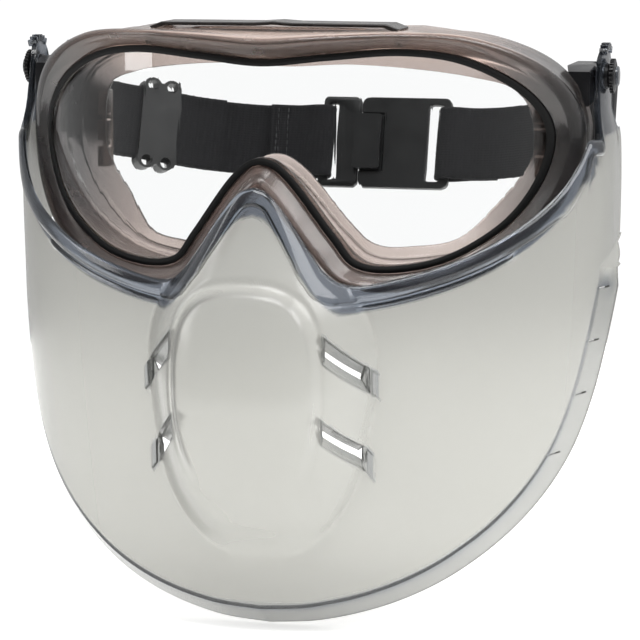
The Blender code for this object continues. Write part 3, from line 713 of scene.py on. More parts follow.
# sections of the arm as x and z: its lip in front, its saddle on the frame, and the arm behind
SADDLE = [(84.2, 3.6), (BRACKET_X, 3.6), (BRACKET_X, -8.0), (90.9, -8.0), (88.3, -2.2)]
LIP = [(85.5, 2.0), (92.6, 2.0), (92.6, -9.0), (91.4, -9.0), (89.0, -2.5)]
ARM = [(84.2, 3.6), (90.7, 3.6), (90.7, -8.0), (90.4, -8.0), (88.0, -2.2)]


def turned(profile, centre, side, sides=48):
    """A round piece on an axis along X, from (x, radius) pairs; `side` is -1 for the right one."""
    rings = []
    for x, radius in profile:
        ring = arc(centre, radius, 0.0, 360.0 * (sides - 1) / sides, sides)
        rings.append([Vector((side * x, y, z)) for y, z in ring])
    return skin(rings, False)


black = dark_abs("black_abs_moulded", "131315", 0.25, 0.42)
for side, name in ((1, "left"), (-1, "right")):
    rings = []
    for y, section in ((-15.5, LIP), (-9.0, SADDLE), (1.0, SADDLE), (1.6, ARM), (12.0, ARM)):
        rings.append(rounded([(Vector((side * x, y, z)), 0.5) for x, z in section]))
    bracket = make_piece(f"temple_arm_{name}", skin(rings, False), black)
    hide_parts(f"temple_bracket_{name}")
    stud = turned([
        (BRACKET_X + 0.2, STUD_RADIUS - 0.3), (BRACKET_X + 0.5, STUD_RADIUS),
        (EAR_X + 0.2, STUD_RADIUS), (EAR_X + 0.5, STUD_RADIUS - 0.3),
    ], PIVOT, side)
    stud = make_piece(f"shield_stud_{name}", stud, black)
    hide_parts(f"pivot_stud_{name}")
    pin = turned([
        (91.0, SWIVEL_PIN_RADIUS), (93.6, SWIVEL_PIN_RADIUS), (94.1, SWIVEL_PIN_RADIUS - 0.3),
        (94.4, SWIVEL_PIN_RADIUS - 1.0),
    ], SWIVEL, side)
    pin = make_piece(f"clip_pin_{name}", pin, black)
    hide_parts(f"swivel_pin_{name}")
    for piece in (bracket, stud, pin):
        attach(piece, "goggle")


# --- Face shield -----------------------------------------------------------------
# One moulding of hazy grey polycarbonate, 1.5 mm thick: a deep curved shell with a rolled bead
# along its rim, a muzzle with a raised oval panel and four louvres, and a flange round its foot.

SHELL_THICK = 1.5
SHELL_HALF_WIDTH = [  # z, half width
    (-160.0, 90.5), (-150.0, 92.0), (-120.0, 95.2), (-90.0, 97.5), (-60.0, 98.9), (-22.0, 99.0),
    (-9.0, EAR_X), (30.0, EAR_X),
]
SHELL_DEPTH_TOP = 80.0
SHELL_DEPTH_LOSS = 0.037
RIM_Z = -30.0
REAR_Y = 13.0
TOP_EDGE = [  # x, z
    (0.0, -30.2), (4.0, -31.6), (8.0, -35.6), (13.0, -42.4), (17.5, -49.2), (22.5, -55.8),
    (27.5, -59.6), (35.0, -59.8), (53.5, -55.2), (66.5, -50.0), (77.0, -43.6), (83.0, -38.6),
    (88.0, -33.0), (92.0, -25.8), (94.4, -19.0),
]
BOTTOM_EDGE = [  # angle round the shell, z
    (0.0, -163.5), (11.0, -162.0), (25.0, -156.5), (38.0, -147.5), (52.0, -133.0),
    (63.0, -116.0), (69.5, -99.0), (74.0, -82.0), (78.0, -66.0),
]
EAR_FRONT = [  # y, top z, how full the bead is
    (-16.0, -15.0, 0.6), (-15.4, -12.0, 0.6), (-14.8, -8.5, 0.6), (-14.2, -5.5, 0.5), (-13.7, -3.0, 0.3),
]
EAR_REAR = [  # y, top z, bottom z
    (5.3, -3.0, -54.5), (5.7, -7.0, -54.4), (6.3, -11.5, -54.3), (7.2, -15.0, -54.1),
    (8.4, -16.8, -53.9), (10.2, -17.5, -53.4), (REAR_Y, -17.6, -52.4),
]
EAR_STEPS = 30
MUZZLE = [  # z, half width, how far it stands out
    (-30.0, 9.0, 0.5), (-38.0, 12.0, 3.0), (-46.0, 17.0, 6.5), (-54.0, 23.0, 11.0),
    (-62.0, 29.5, 15.5), (-71.0, 34.5, 18.8), (-82.0, 36.5, 20.5), (-96.0, 36.0, 21.5),
    (-112.0, 33.6, 19.5), (-124.0, 30.5, 15.0), (-134.0, 25.0, 8.5), (-142.0, 17.0, 2.4),
    (-147.0, 9.0, 0.2), (-160.0, 4.0, 0.0),
]
PANEL = (-88.0, 21.6, 2.6)  # raised oval: z where it is widest, half width there, step
PANEL_ABOVE = (26.8, 2.8)  # from there to its top, and how square the curve is
PANEL_BELOW = (43.0, 2.1)
PANEL_STEP = (1.09, 0.11)  # in ovals: where the step's foot is, and how wide the step is
PANEL_GROOVE = (1.11, 0.03, 0.5)  # in ovals: its middle and width, then its depth
PANEL_FADE = (12.0, 22.0)  # how far below the middle the edge starts to fade, and over what
FLANGE = (4.8, 12.0, 7.2)  # flare outwards, run back, drop
FLANGE_ROWS = (0.04, 0.15, 0.4, 0.7, 0.93, 1.0)
FLANGE_TOP = -60.0  # z where its full depth ends, below each ear
BEAD_HEIGHT = 1.4
BEAD_WIDTH = 5.5
BEAD_ROWS = (0.0, 0.06, 0.18, 0.34, 0.5, 0.66, 0.82, 0.94, 1.0)
STEEPEST = 1.9  # how much the bead may widen where the rim runs steeply
RIDGE_HEIGHT = 0.8
RIDGE_WIDTH = 2.2
RIDGE_SPAN = (30.0, 76.0)  # of x, on each cheek
RIDGE_ROWS = 6
FRONT_ANGLE = 78.0
MUZZLE_ANGLE = 27.0
MUZZLE_COLUMNS = 76
CHEEK_COLUMNS = 40
BODY_ROWS = 110
EAR_RADIUS = 9.2
STUD_HOLE_RADIUS = 4.3


def smooth_table(rows, at):
    """Read the columns after the first on a smooth curve through the rows."""
    rows = sorted(rows)
    at = min(max(at, rows[0][0]), rows[-1][0])
    i = next(k for k in range(len(rows) - 1) if at <= rows[k + 1][0])
    span = rows[i + 1][0] - rows[i][0]
    t = (at - rows[i][0]) / span
    values = []
    for column in range(1, len(rows[0])):

        def slope(k):
            low, high = rows[max(k - 1, 0)], rows[min(k + 1, len(rows) - 1)]
            return (high[column] - low[column]) / (high[0] - low[0])

        start, end = rows[i][column], rows[i + 1][column]
        run_in, run_out = slope(i) * span, slope(i + 1) * span
        value = start * (2 * t**3 - 3 * t**2 + 1) + end * (3 * t**2 - 2 * t**3)
        value += run_in * (t**3 - 2 * t**2 + t) + run_out * (t**3 - t**2)
        values.append(value)
    return values


def ease(value):
    """0 to 1 with level ends."""
    value = min(max(value, 0.0), 1.0)
    return value * value * (3 - 2 * value)


def muzzle_height(x, z):
    """How far the muzzle, with its raised panel, stands out in front of the plain shell."""
    width, height = smooth_table(MUZZLE, z)
    across = min(abs(x) / max(width, 1.0), 1.0)
    middle_z, panel_width, step = PANEL
    reach, power = PANEL_ABOVE if z > middle_z else PANEL_BELOW
    oval = ((abs(x) / panel_width) ** power + (abs(z - middle_z) / reach) ** power) ** (1 / power)
    fade = 1.0 - ease((middle_z - PANEL_FADE[0] - z) / PANEL_FADE[1])
    foot, run = PANEL_STEP
    groove, spread_of_groove, deep = PANEL_GROOVE
    raised = step * ease((foot - oval) / run)
    raised -= deep * math.exp(-(((oval - groove) / spread_of_groove) ** 2))
    return height * (1.0 - across**3.4) + fade * raised


def shell_point(column, z, outward=0.0):
    """A point of the outer surface; a column is an angle up to FRONT_ANGLE, or a y behind that."""
    kind, value = column
    width = smooth_table(SHELL_HALF_WIDTH, z)[0] + outward
    depth = SHELL_DEPTH_TOP - SHELL_DEPTH_LOSS * max(0.0, RIM_Z - z) + outward
    if kind == "angle":
        angle = math.radians(value)
        x = width * math.sin(angle)
        y = -depth * math.cos(angle)
    else:
        y = value
        x = width * math.sqrt(1.0 - (min(y, 0.0) / depth) ** 2)
    return Vector((x, y - muzzle_height(x, z), z))


def shell_columns():
    """(column, top z, bottom z, bead strength, flange length) from the middle to the rear edge."""
    angles = [MUZZLE_ANGLE * i / MUZZLE_COLUMNS for i in range(MUZZLE_COLUMNS)]
    cheek = FRONT_ANGLE - MUZZLE_ANGLE
    angles += [MUZZLE_ANGLE + cheek * i / CHEEK_COLUMNS for i in range(CHEEK_COLUMNS + 1)]
    columns = []
    for angle in angles:
        x = smooth_table(SHELL_HALF_WIDTH, -45.0)[0] * math.sin(math.radians(angle))
        top = smooth_table(TOP_EDGE, x)[0]
        columns.append((("angle", angle), top, smooth_table(BOTTOM_EDGE, angle)[0], 1.0, 1.0))
    for y, top, bead in EAR_FRONT:
        columns.append((("y", y), top, FLANGE_TOP + 0.3 * (y - EAR_FRONT[0][0]), bead, 0.9))
    for i in range(EAR_STEPS + 1):
        angle = math.radians(150.0 - 130.0 * i / EAR_STEPS)
        y = PIVOT[0] + EAR_RADIUS * math.cos(angle)
        top = PIVOT[1] + EAR_RADIUS * math.sin(angle)
        share = (y - PIVOT[0] + EAR_RADIUS) / (2 * EAR_RADIUS)
        columns.append((("y", y), top, -59.0 + 4.5 * share, 0.0, 0.75 - 0.65 * share))
    for y, top, bottom in EAR_REAR:
        columns.append((("y", y), top, bottom, 0.0, 0.08))
    return columns


def flange_vector(column):
    """Which way, and how far, the full flange runs from the shell's lower edge."""
    angle = math.radians(column[1] if column[0] == "angle" else FRONT_ANGLE)
    flare, run, drop = FLANGE
    return Vector((flare * math.sin(angle), run, -drop * math.cos(angle)))


def shell_strip(column, top, bottom, bead, flange, slope):
    """One column of points, from the rim's bead down to the flange's free edge."""
    width = BEAD_WIDTH * slope * (0.35 + 0.65 * bead) * (1.0 if bead == 1.0 else 0.5)
    strip = []
    for part in BEAD_ROWS:
        lift = math.sqrt(max(0.0, 1.0 - (2 * part - 1) ** 2))
        strip.append(shell_point(column, top - width * part, BEAD_HEIGHT * lift * bead))
    start = top - width
    x = strip[-1].x
    ridge = ease((x - RIDGE_SPAN[0]) / 4.0) * ease((RIDGE_SPAN[1] - x) / 1.5)
    low = start - RIDGE_WIDTH * min(slope, 1.3)
    for k in range(1, RIDGE_ROWS):
        lift = ridge * RIDGE_HEIGHT * math.sin(math.pi * k / RIDGE_ROWS) ** 0.8
        strip.append(shell_point(column, start + (low - start) * k / RIDGE_ROWS, lift))
    strip.append(shell_point(column, low))
    for row in range(1, BODY_ROWS + 1):
        strip.append(shell_point(column, low + (bottom - low) * row / BODY_ROWS))
    edge = strip[-1]
    for part in FLANGE_ROWS:
        strip.append(edge + flange_vector(column) * part * flange)
    return strip


def shell_mesh():
    """The outer surface of the whole shield, as one grid of columns from ear to ear."""
    columns = shell_columns()
    fronts = MUZZLE_COLUMNS + CHEEK_COLUMNS
    half = []
    for i, (column, top, bottom, bead, flange) in enumerate(columns):
        slope = 1.0
        if i <= fronts:
            near, far = columns[min(i + 1, fronts)], columns[max(i - 1, 0)]
            run = shell_point(near[0], near[1]).x - shell_point(far[0], far[1]).x
            slope = min(math.hypot(1.0, (near[1] - far[1]) / max(run, 0.3)), STEEPEST)
        half.append(shell_strip(column, top, bottom, bead, flange, slope))
    strips = [[Vector((-p.x, p.y, p.z)) for p in strip] for strip in reversed(half[1:])] + half
    build = bmesh.new()
    grid = [[build.verts.new(point) for point in strip] for strip in strips]
    for one, two in zip(grid, grid[1:]):
        for a, b, c, d in zip(one, one[1:], two[1:], two):
            build.faces.new((a, b, c, d))
    return build


# louvres on the muzzle's left flank: x and z at both ends of the middle line
LOUVRES = [((24.4, -78.0), (35.2, -89.4)), ((23.6, -103.2), (33.4, -114.6))]
LOUVRE_HEIGHT = 8.2
LOUVRE_STEPS = 8
AIR_GAP = 4.4
RAMP_DEPTH = 2.5
RAMP_THICK = 1.1
HOOD = (2.2, 3.6)  # how far it hangs below the window's top, and how deep
END_WALL = 0.05  # of the louvre's length
TAB = (0.95, 8.4, 1.2)  # half width, height, how proud
TAB_AWAY = 1.3  # from the louvre's outer end
SLITS = (-67.0, -83.5, -100.0, -118.0)  # z of the fine cuts across the flange


def on_muzzle(x, z):
    """The point of the shell's outer face there."""
    width = smooth_table(SHELL_HALF_WIDTH, z)[0]
    depth = SHELL_DEPTH_TOP - SHELL_DEPTH_LOSS * max(0.0, RIM_Z - z)
    return Vector((x, -depth * math.sqrt(1.0 - (x / width) ** 2) - muzzle_height(x, z), z))


def louvre_solid(line, flip, span, profile):
    """A solid along part of a louvre; its profile is (height, out from the face) corners."""
    (x0, z0), (x1, z1) = line
    middle = 0.5 * (span[0] + span[1])
    x, z = x0 + (x1 - x0) * middle, z0 + (z1 - z0) * middle
    here = on_muzzle(x, z)
    outward = (on_muzzle(x + 0.8, z) - here).cross(on_muzzle(x, z + 0.8) - here).normalized()
    rings = []
    for k in range(LOUVRE_STEPS + 1):
        t = span[0] + (span[1] - span[0]) * k / LOUVRE_STEPS
        x, z = x0 + (x1 - x0) * t, z0 + (z1 - z0) * t
        rings.append([on_muzzle(x, z + up) + outward * out for up, out in profile])
    build = skin(rings, False)
    if flip:
        bmesh.ops.scale(build, verts=build.verts, vec=(-1, 1, 1))
        bmesh.ops.reverse_faces(build, faces=build.faces)
    return build


def cut_louvre(target, line, flip):
    """Window, sloping lower lip, hood, end walls and the small tab beyond the outer end."""
    half = LOUVRE_HEIGHT / 2
    top = half - AIR_GAP
    window = [(-half, 4.0), (half, 4.0), (half, -6.0), (-half, -6.0)]
    combine(target, louvre_solid(line, flip, (0.0, 1.0), window))
    ramp = [(-half - 0.3, -0.05), (top, -RAMP_DEPTH)]
    ramp += [(top, -RAMP_DEPTH - RAMP_THICK), (-half - 0.3, -RAMP_THICK)]
    drop, deep = HOOD
    hood = [(half + 0.3, -0.9), (half - drop, -deep), (half - drop, -deep - 0.8), (half + 0.3, -2.3)]
    for profile in (ramp, hood):
        combine(target, louvre_solid(line, flip, (-0.02, 1.02), profile), "UNION")
    wall = [(-half + 1.0, -0.3), (half + 0.2, -0.3), (half + 0.2, -1.2), (top + 0.5, -RAMP_DEPTH - 0.3)]
    for span in ((-0.02, END_WALL), (1.0 - END_WALL, 1.02)):
        combine(target, louvre_solid(line, flip, span, wall), "UNION")
    width, height, proud = TAB
    end = height / 2
    ends = [(-end, -0.8), (-end + 0.7, proud), (end - 0.7, proud), (end, -0.8)]
    run = line[1][0] - line[0][0]
    span = (1.0 + (TAB_AWAY - width) / run, 1.0 + (TAB_AWAY + width) / run)
    combine(target, louvre_solid(line, flip, span, ends), "UNION")


def slit_box(z, side):
    """A fine cut across the flange at height z."""
    angle = next(a for a in range(int(FRONT_ANGLE), 0, -1) if smooth_table(BOTTOM_EDGE, a)[0] <= z)
    start = shell_point(("angle", angle), z)
    low, high = sorted((side * (start.x - 2.0), side * (start.x + 9.0)))
    outline = [(low, z - 0.3), (high, z - 0.3), (high, z + 0.3), (low, z + 0.3)]
    return prism(outline, 1, start.y + 1.8, start.y + 8.0)


def near_louvre(x, z):
    """How glossy a louvre's lip, ends and tab are, and 0 elsewhere."""
    for (x0, z0), (x1, z1) in LOUVRES:
        t = (x - x0) / (x1 - x0)
        if abs(z - z0 - (z1 - z0) * t) < LOUVRE_HEIGHT / 2 + 0.4:
            if -0.03 < t < 1.03:
                return 0.3
            if abs(x - x1 - TAB_AWAY) < TAB[0] + 0.1:
                return 0.5
    return 0.0


def crease_shade_and_gloss(x, z):
    """Glossy along the crease above the flange, less so on the flange, and 0 on the body. The band
    along the crease also darkens the colour there, as painted shade in the crease.
    """
    if z > FLANGE_TOP:
        return 0.0
    width = smooth_table(SHELL_HALF_WIDTH, z)[0]
    angle = math.degrees(math.asin(min(x / width, 0.99)))
    above = z - smooth_table(BOTTOM_EDGE, angle)[0]
    ahead, behind = (smooth_table(BOTTOM_EDGE, angle + turn)[0] for turn in (1.0, -1.0))
    steep = (ahead - behind) / 3.4  # two degrees are about 3.4 mm of the shell
    away = abs(above) / math.hypot(1.0, steep)
    # the 0.85 band along the crease darkens the colour there: painted shade in the crease
    return max(0.85 * ease(1.35 - away / 1.4), 0.22 if above < 0.0 else 0.0)


def mark_polish_and_crease_shade(piece):
    """Store where the mould was polished: the rim's bead, the ears, the louvres and the foot. Along
    the crease above the flange its darker colour is painted shade.
    """
    mask = piece.data.attributes.new("polish_and_crease_shade", "FLOAT", "POINT")
    for vert in piece.data.vertices:
        x, y, z = (abs(vert.co.x) / MM, vert.co.y / MM, vert.co.z / MM)
        # beside the nose the rim runs steeply, so the bead's band is taller
        reach = BEAD_WIDTH * 1.55 if x < 24.0 else BEAD_WIDTH * 1.15 + RIDGE_WIDTH
        rim = ease((z - smooth_table(TOP_EDGE, x)[0] + reach) / 0.6) if x < 94.0 else 0.0
        ear = ease((z + 19.0) / 1.5)
        # the band goes on up the front of the ear
        if x > 92.0 and z > -32.0:
            rim = max(rim, ease((-6.0 + 0.5 * z - y) / 0.8))
        mask.data[vert.index].value = max(rim, ear, near_louvre(x, z), crease_shade_and_gloss(x, z))


# the polished grade: colour, how clear, how rough
POLISHED_GREY = "757B85"
POLISHED_CLEAR = 0.93
POLISHED_ROUGH = 0.13


def finish_polycarbonate(tree, shader, place):
    """What both grades share: the grain of the mould, and a tint that deepens with thickness."""
    shader.inputs["IOR"].default_value = 1.45
    grain = add(tree, "ShaderNodeTexNoise", {"Vector": place, "Scale": 900.0, "Detail": 2.0})
    bump = add(tree, "ShaderNodeBump", {"Height": grain.outputs[0], "Strength": 0.03, "Distance": 0.0001})
    tree.links.new(bump.outputs[0], shader.inputs["Normal"])
    tint = add(tree, "ShaderNodeVolumeAbsorption", {"Color": linear("C2C1BD"), "Density": 300.0})
    tree.links.new(tint.outputs[0], tree.nodes["Material Output"].inputs["Volume"])


def hazy_polycarbonate():
    """Grey polycarbonate, fine-textured so that it lets light through and blurs it. Where the
    mask is 1 the mould was polished, and it is glossy and clear. The mask also turns the colour a
    darker blue-grey, which along the crease above the flange is painted shade."""
    made, tree, shader, place = start_finish("hazy_polycarbonate_moulded")
    polish_and_crease_shade = add(tree, "ShaderNodeAttribute", attribute_name="polish_and_crease_shade").outputs["Fac"]
    # the darker polished grey also falls along the crease above the flange, as painted shade there
    shades = {0: polish_and_crease_shade, 6: linear("C3C3BE"), 7: linear(POLISHED_GREY)}
    colour = add(tree, "ShaderNodeMix", shades, data_type="RGBA")
    tree.links.new(colour.outputs[2], shader.inputs["Base Color"])
    clear = add(tree, "ShaderNodeMapRange", {0: polish_and_crease_shade, 3: 0.66, 4: POLISHED_CLEAR})
    tree.links.new(clear.outputs[0], shader.inputs["Transmission Weight"])
    clouds = add(tree, "ShaderNodeTexNoise", {"Vector": place, "Scale": 25.0, "Detail": 2.0})
    rough = add(tree, "ShaderNodeMapRange", {0: clouds.outputs[0], 3: 0.18, 4: 0.27})
    shine = add(tree, "ShaderNodeMix", {0: polish_and_crease_shade, 2: rough.outputs[0], 3: POLISHED_ROUGH})
    tree.links.new(shine.outputs[0], shader.inputs["Roughness"])
    finish_polycarbonate(tree, shader, place)
    return made


def polished_polycarbonate():
    """The same polycarbonate from a polished mould."""
    made, tree, shader, place = start_finish("polished_polycarbonate_moulded")
    shader.inputs["Base Color"].default_value = linear(POLISHED_GREY)
    shader.inputs["Transmission Weight"].default_value = POLISHED_CLEAR
    shader.inputs["Roughness"].default_value = POLISHED_ROUGH
    finish_polycarbonate(tree, shader, place)
    return made


haze = hazy_polycarbonate()
polished = polished_polycarbonate()
shield = make_piece("hazy_face_shield", shell_mesh(), haze)
wall = shield.modifiers.new("wall", "SOLIDIFY")
wall.thickness = SHELL_THICK * MM
wall.offset = -1.0
wall.use_even_offset = False
bake(shield)
for side in (1, -1):
    low, high = sorted((side * (EAR_X - 8.0), side * (EAR_X + 4.0)))
    combine(shield, prism(arc(PIVOT, STUD_HOLE_RADIUS, 0, 345, 24), 0, low, high))
    for line in LOUVRES:
        cut_louvre(shield, line, side < 0)
    for z in SLITS:
        combine(shield, slit_box(z, side))
mark_polish_and_crease_shade(shield)
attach(shield, "shield")
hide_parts("face_shield")


# --- Ear teeth -------------------------------------------------------------------
# A row of small moulded ribs over the top of each ear of the shield. They give the fingers a grip
# and click against the bracket as the shield tips.

TEETH = 6
TOOTH_PITCH = math.radians(13.0)
TOOTH_FIRST = math.radians(-32.0)
for side, name in ((1, "left"), (-1, "right")):
    inner, outer = sorted((side * (EAR_X - SHELL_THICK - 0.6), side * (EAR_X + 0.4)))
    tooth = rounded_box((-0.55, EAR_RADIUS - 0.8), (0.55, EAR_RADIUS + 1.5), 0.4, 3)
    teeth = make_piece(f"ear_teeth_{name}", prism(tooth, 0, inner, outer), polished)
    repeat(teeth, TEETH, turn=TOOTH_PITCH)
    place = Matrix.Translation(Vector((0.0, *PIVOT)) * MM)
    teeth.data.transform(place @ Matrix.Rotation(TOOTH_FIRST, 4, "X"))
    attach(teeth, "shield")


# --- Knobs and caps --------------------------------------------------------------
# A thin black thumb knob with a ridged edge clamps each ear of the shield on its stud. A small hazy
# cap snaps on over it and hides the end of the stud.

KNOB_X = EAR_X + 0.8
KNOB_THICK = 1.7
KNOB_RADIUS = 5.6
RIDGES = 28
CAP_X = EAR_X + 1.0 + KNOB_THICK
CAP_THICK = 0.9
CAP_RADIUS = 3.2
KNOB_FACE = KNOB_X + KNOB_THICK
CAP_FACE = CAP_X + CAP_THICK
for side, name in ((1, "left"), (-1, "right")):
    knob = turned([
        (KNOB_X, KNOB_RADIUS - 0.9), (KNOB_X + 0.3, KNOB_RADIUS - 0.45),
        (KNOB_FACE - 0.4, KNOB_RADIUS - 0.45), (KNOB_FACE - 0.1, KNOB_RADIUS - 0.8),
        (KNOB_FACE, KNOB_RADIUS - 1.3), (KNOB_FACE - 0.25, CAP_RADIUS + 0.3), (KNOB_FACE - 0.25, 0.4),
    ], PIVOT, side, 72)
    knob = make_piece(f"thumb_knob_{name}", knob, black)
    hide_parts(f"pivot_knob_{name}")
    inner, outer = sorted((side * (KNOB_X + 0.15), side * (KNOB_FACE - 0.3)))
    ridge = rounded_box((-0.34, KNOB_RADIUS - 0.9), (0.34, KNOB_RADIUS), 0.25, 3)
    ridges = make_piece(f"knob_ridges_{name}", prism(ridge, 0, inner, outer), black)
    repeat(ridges, RIDGES, turn=2 * math.pi / RIDGES)
    ridges.data.transform(Matrix.Translation(Vector((0.0, *PIVOT)) * MM))
    cap = turned([
        (CAP_X, CAP_RADIUS), (CAP_FACE - 0.35, CAP_RADIUS), (CAP_FACE - 0.1, CAP_RADIUS - 0.35),
        (CAP_FACE, CAP_RADIUS - 1.2), (CAP_FACE, 0.3),
    ], PIVOT, side)
    cap = make_piece(f"snap_cap_{name}", cap, polished)
    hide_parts(f"pivot_cap_{name}")
    for piece, slot in ((knob, "black_plastic"), (ridges, "black_plastic"), (cap, "cap_haze")):
        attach(piece, f"knob_{name}")


# --- Strap clips -----------------------------------------------------------------
# A black plate on each swivel pin, with a window at its back and the bar that the strap turns
# round. The headband is drawn flat, as x, then v backwards and h upwards, and then tilted.

SWIVEL_TILT = math.radians(-19.8)
BAND_PLACE = Matrix.Translation(Vector((0.0, *SWIVEL)) * MM) @ Matrix.Rotation(SWIVEL_TILT, 4, "X")
CLIP_X = 92.1
CLIP_THICK = 2.0
CLIP_BAR_V = 13.5
CLIP_HALF = 16.4
BAR = 2.8
front = CLIP_BAR_V - BAR / 2
rear = CLIP_BAR_V + BAR / 2
outline = arc((0.0, 0.0), 6.0, 120, 240, 12)
outline += [(5.0, -CLIP_HALF), (rear - 1.0, -CLIP_HALF), (rear, 1.0 - CLIP_HALF)]
outline += [(rear, CLIP_HALF - 1.0), (rear - 1.0, CLIP_HALF), (5.0, CLIP_HALF)]
for side, name in ((1, "left"), (-1, "right")):
    near, far = sorted((side * (CLIP_X - CLIP_THICK / 2), side * (CLIP_X + CLIP_THICK / 2)))
    clip = make_piece(f"strap_bar_clip_{name}", prism(outline, 0, near, far), black)
    combine(clip, prism(rounded_box((8.8, -13.8), (front, 13.8), 0.8), 0, near - 3, far + 3))
    combine(clip, prism(arc((0, 0), SWIVEL_PIN_RADIUS + 0.3, 0, 352.5, 48), 0, near - 3, far + 3))
    round_edges(clip, 0.35)
    clip.data.transform(BAND_PLACE)
    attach(clip, "headband")
    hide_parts(f"strap_clip_{name}")


# --- Straps ----------------------------------------------------------------------
# Black knitted elastic webbing, 26 mm wide and 1.5 mm thick, doubled back through the clips, the
# slider and the buckle. The long one on the wearer's right adjusts; both folds are sewn down.

STRAP_WIDTH = 26.0
STRAP_THICK = 1.5
LAYER = 0.95  # from the band's middle line to each layer's
LOOP = 2.9  # the turn round a bar
BAR_CLEAR = (1.5, 9.0)  # how far a layer stays at LOOP past a bar, and then comes in over
# middle lines of the two bands, from clip to buckle
RIGHT_BAND = [
    (-92.1, 13.5), (-93.3, 24.0), (-91.2, 36.5), (-86.0, 47.0), (-78.0, 53.0), (-70.0, 59.0),
    (-62.0, 65.0), (-48.0, 71.0), (-33.0, 73.6), (-17.0, 74.0),
]
LEFT_BAND = [
    (92.1, 13.5), (93.0, 25.0), (89.0, 38.0), (79.0, 50.5), (63.0, 63.0), (46.0, 71.6), (27.0, 74.0),
]
# lengths doubled back at the clip and at the buckle
RIGHT_TAILS = (76.0, 20.0)
LEFT_TAILS = (22.0, 20.0)
BAND_STEPS = 12
TURN_STEPS = 14
RIB_PITCH = 1.3  # of the weft ribs, drawn a little coarse to show
KNIT_PITCH = 0.9


def band_axis(points):
    """The band's middle line as (point, normal, distance from the start)."""
    first = tuple(2 * a - b for a, b in zip(points[0], points[1]))
    last = tuple(2 * a - b for a, b in zip(points[-1], points[-2]))
    ends = [first, *points, last]
    path = []
    for i in range(len(points) - 1):
        path += [Vector(catmull(*ends[i : i + 4], step / BAND_STEPS)) for step in range(BAND_STEPS)]
    path.append(Vector(points[-1]))
    rows = []
    walked = 0.0
    for i, point in enumerate(path):
        if i:
            walked += (point - path[i - 1]).length
        along = (path[min(i + 1, len(path) - 1)] - path[max(i - 1, 0)]).normalized()
        rows.append((point, Vector((-along.y, along.x)), walked))
    return rows


def spread(walked, total):
    """How far a layer stands off the middle line: wide near the bars at both ends."""
    near = min(walked, total - walked)
    clear, run = BAR_CLEAR
    return LAYER + (LOOP - LAYER) * ease(1.0 - max(near - clear, 0.0) / run)


def turn_points(point, normal, way):
    """Half a turn round a bar, from the layer on +normal to the one on -normal."""
    along = Vector((normal.y, -normal.x)) * way
    angles = [math.pi * i / TURN_STEPS for i in range(1, TURN_STEPS)]
    return [point + normal * (LOOP * math.cos(a)) + along * (LOOP * math.sin(a)) for a in angles]


def strap_line(points, start_tail, end_tail):
    """The webbing's own line: a tail, the first bar, along the band, the last bar, a tail."""
    axis = band_axis(points)
    total = axis[-1][2]
    outer = [p + n * spread(w, total) for p, n, w in axis]
    inner = [(p - n * spread(w, total), w) for p, n, w in axis]
    line = [p for p, w in reversed(inner) if w <= start_tail]
    line += list(reversed(turn_points(axis[0][0], axis[0][1], -1)))
    line += outer
    line += turn_points(axis[-1][0], axis[-1][1], 1)
    return line + [p for p, w in reversed(inner) if w >= total - end_tail]


def strap_mesh(line):
    """Webbing along `line`, with soft selvedges and a UV map in millimetres along and across."""
    half, thick = STRAP_WIDTH / 2, STRAP_THICK / 2
    flat = 0.86 * thick
    section = [(flat, 0.0), (flat, 0.5 * half), (flat, half - 2.0), (thick, half - 1.3)]
    section += [(thick, half - 0.6), (thick * 0.6, half - 0.1), (0.0, half)]
    section += [(-out, high) for out, high in reversed(section[:-1])]
    section += [(out, -high) for out, high in reversed(section[1:-1])]
    build = bmesh.new()
    layer = build.loops.layers.uv.new("weave")
    rings, walked = [], []
    for i, point in enumerate(line):
        along = (line[min(i + 1, len(line) - 1)] - line[max(i - 1, 0)]).normalized()
        side = Vector((-along.y, along.x))
        ring = [(point + side * out, high) for out, high in section]
        rings.append([build.verts.new((p.x, p.y, high)) for p, high in ring])
        walked.append(walked[-1] + (point - line[i - 1]).length if i else 0.0)
    count = len(section)
    for k in range(len(line) - 1):
        for i in range(count):
            j = (i + 1) % count
            face = build.faces.new((rings[k][i], rings[k][j], rings[k + 1][j], rings[k + 1][i]))
            corners = ((k, i), (k, j), (k + 1, j), (k + 1, i))
            for loop, (step, corner) in zip(face.loops, corners):
                loop[layer].uv = (walked[step], section[corner][1])
    build.faces.new(rings[0])
    build.faces.new(reversed(rings[-1]))
    bmesh.ops.recalc_face_normals(build, faces=build.faces)
    return build


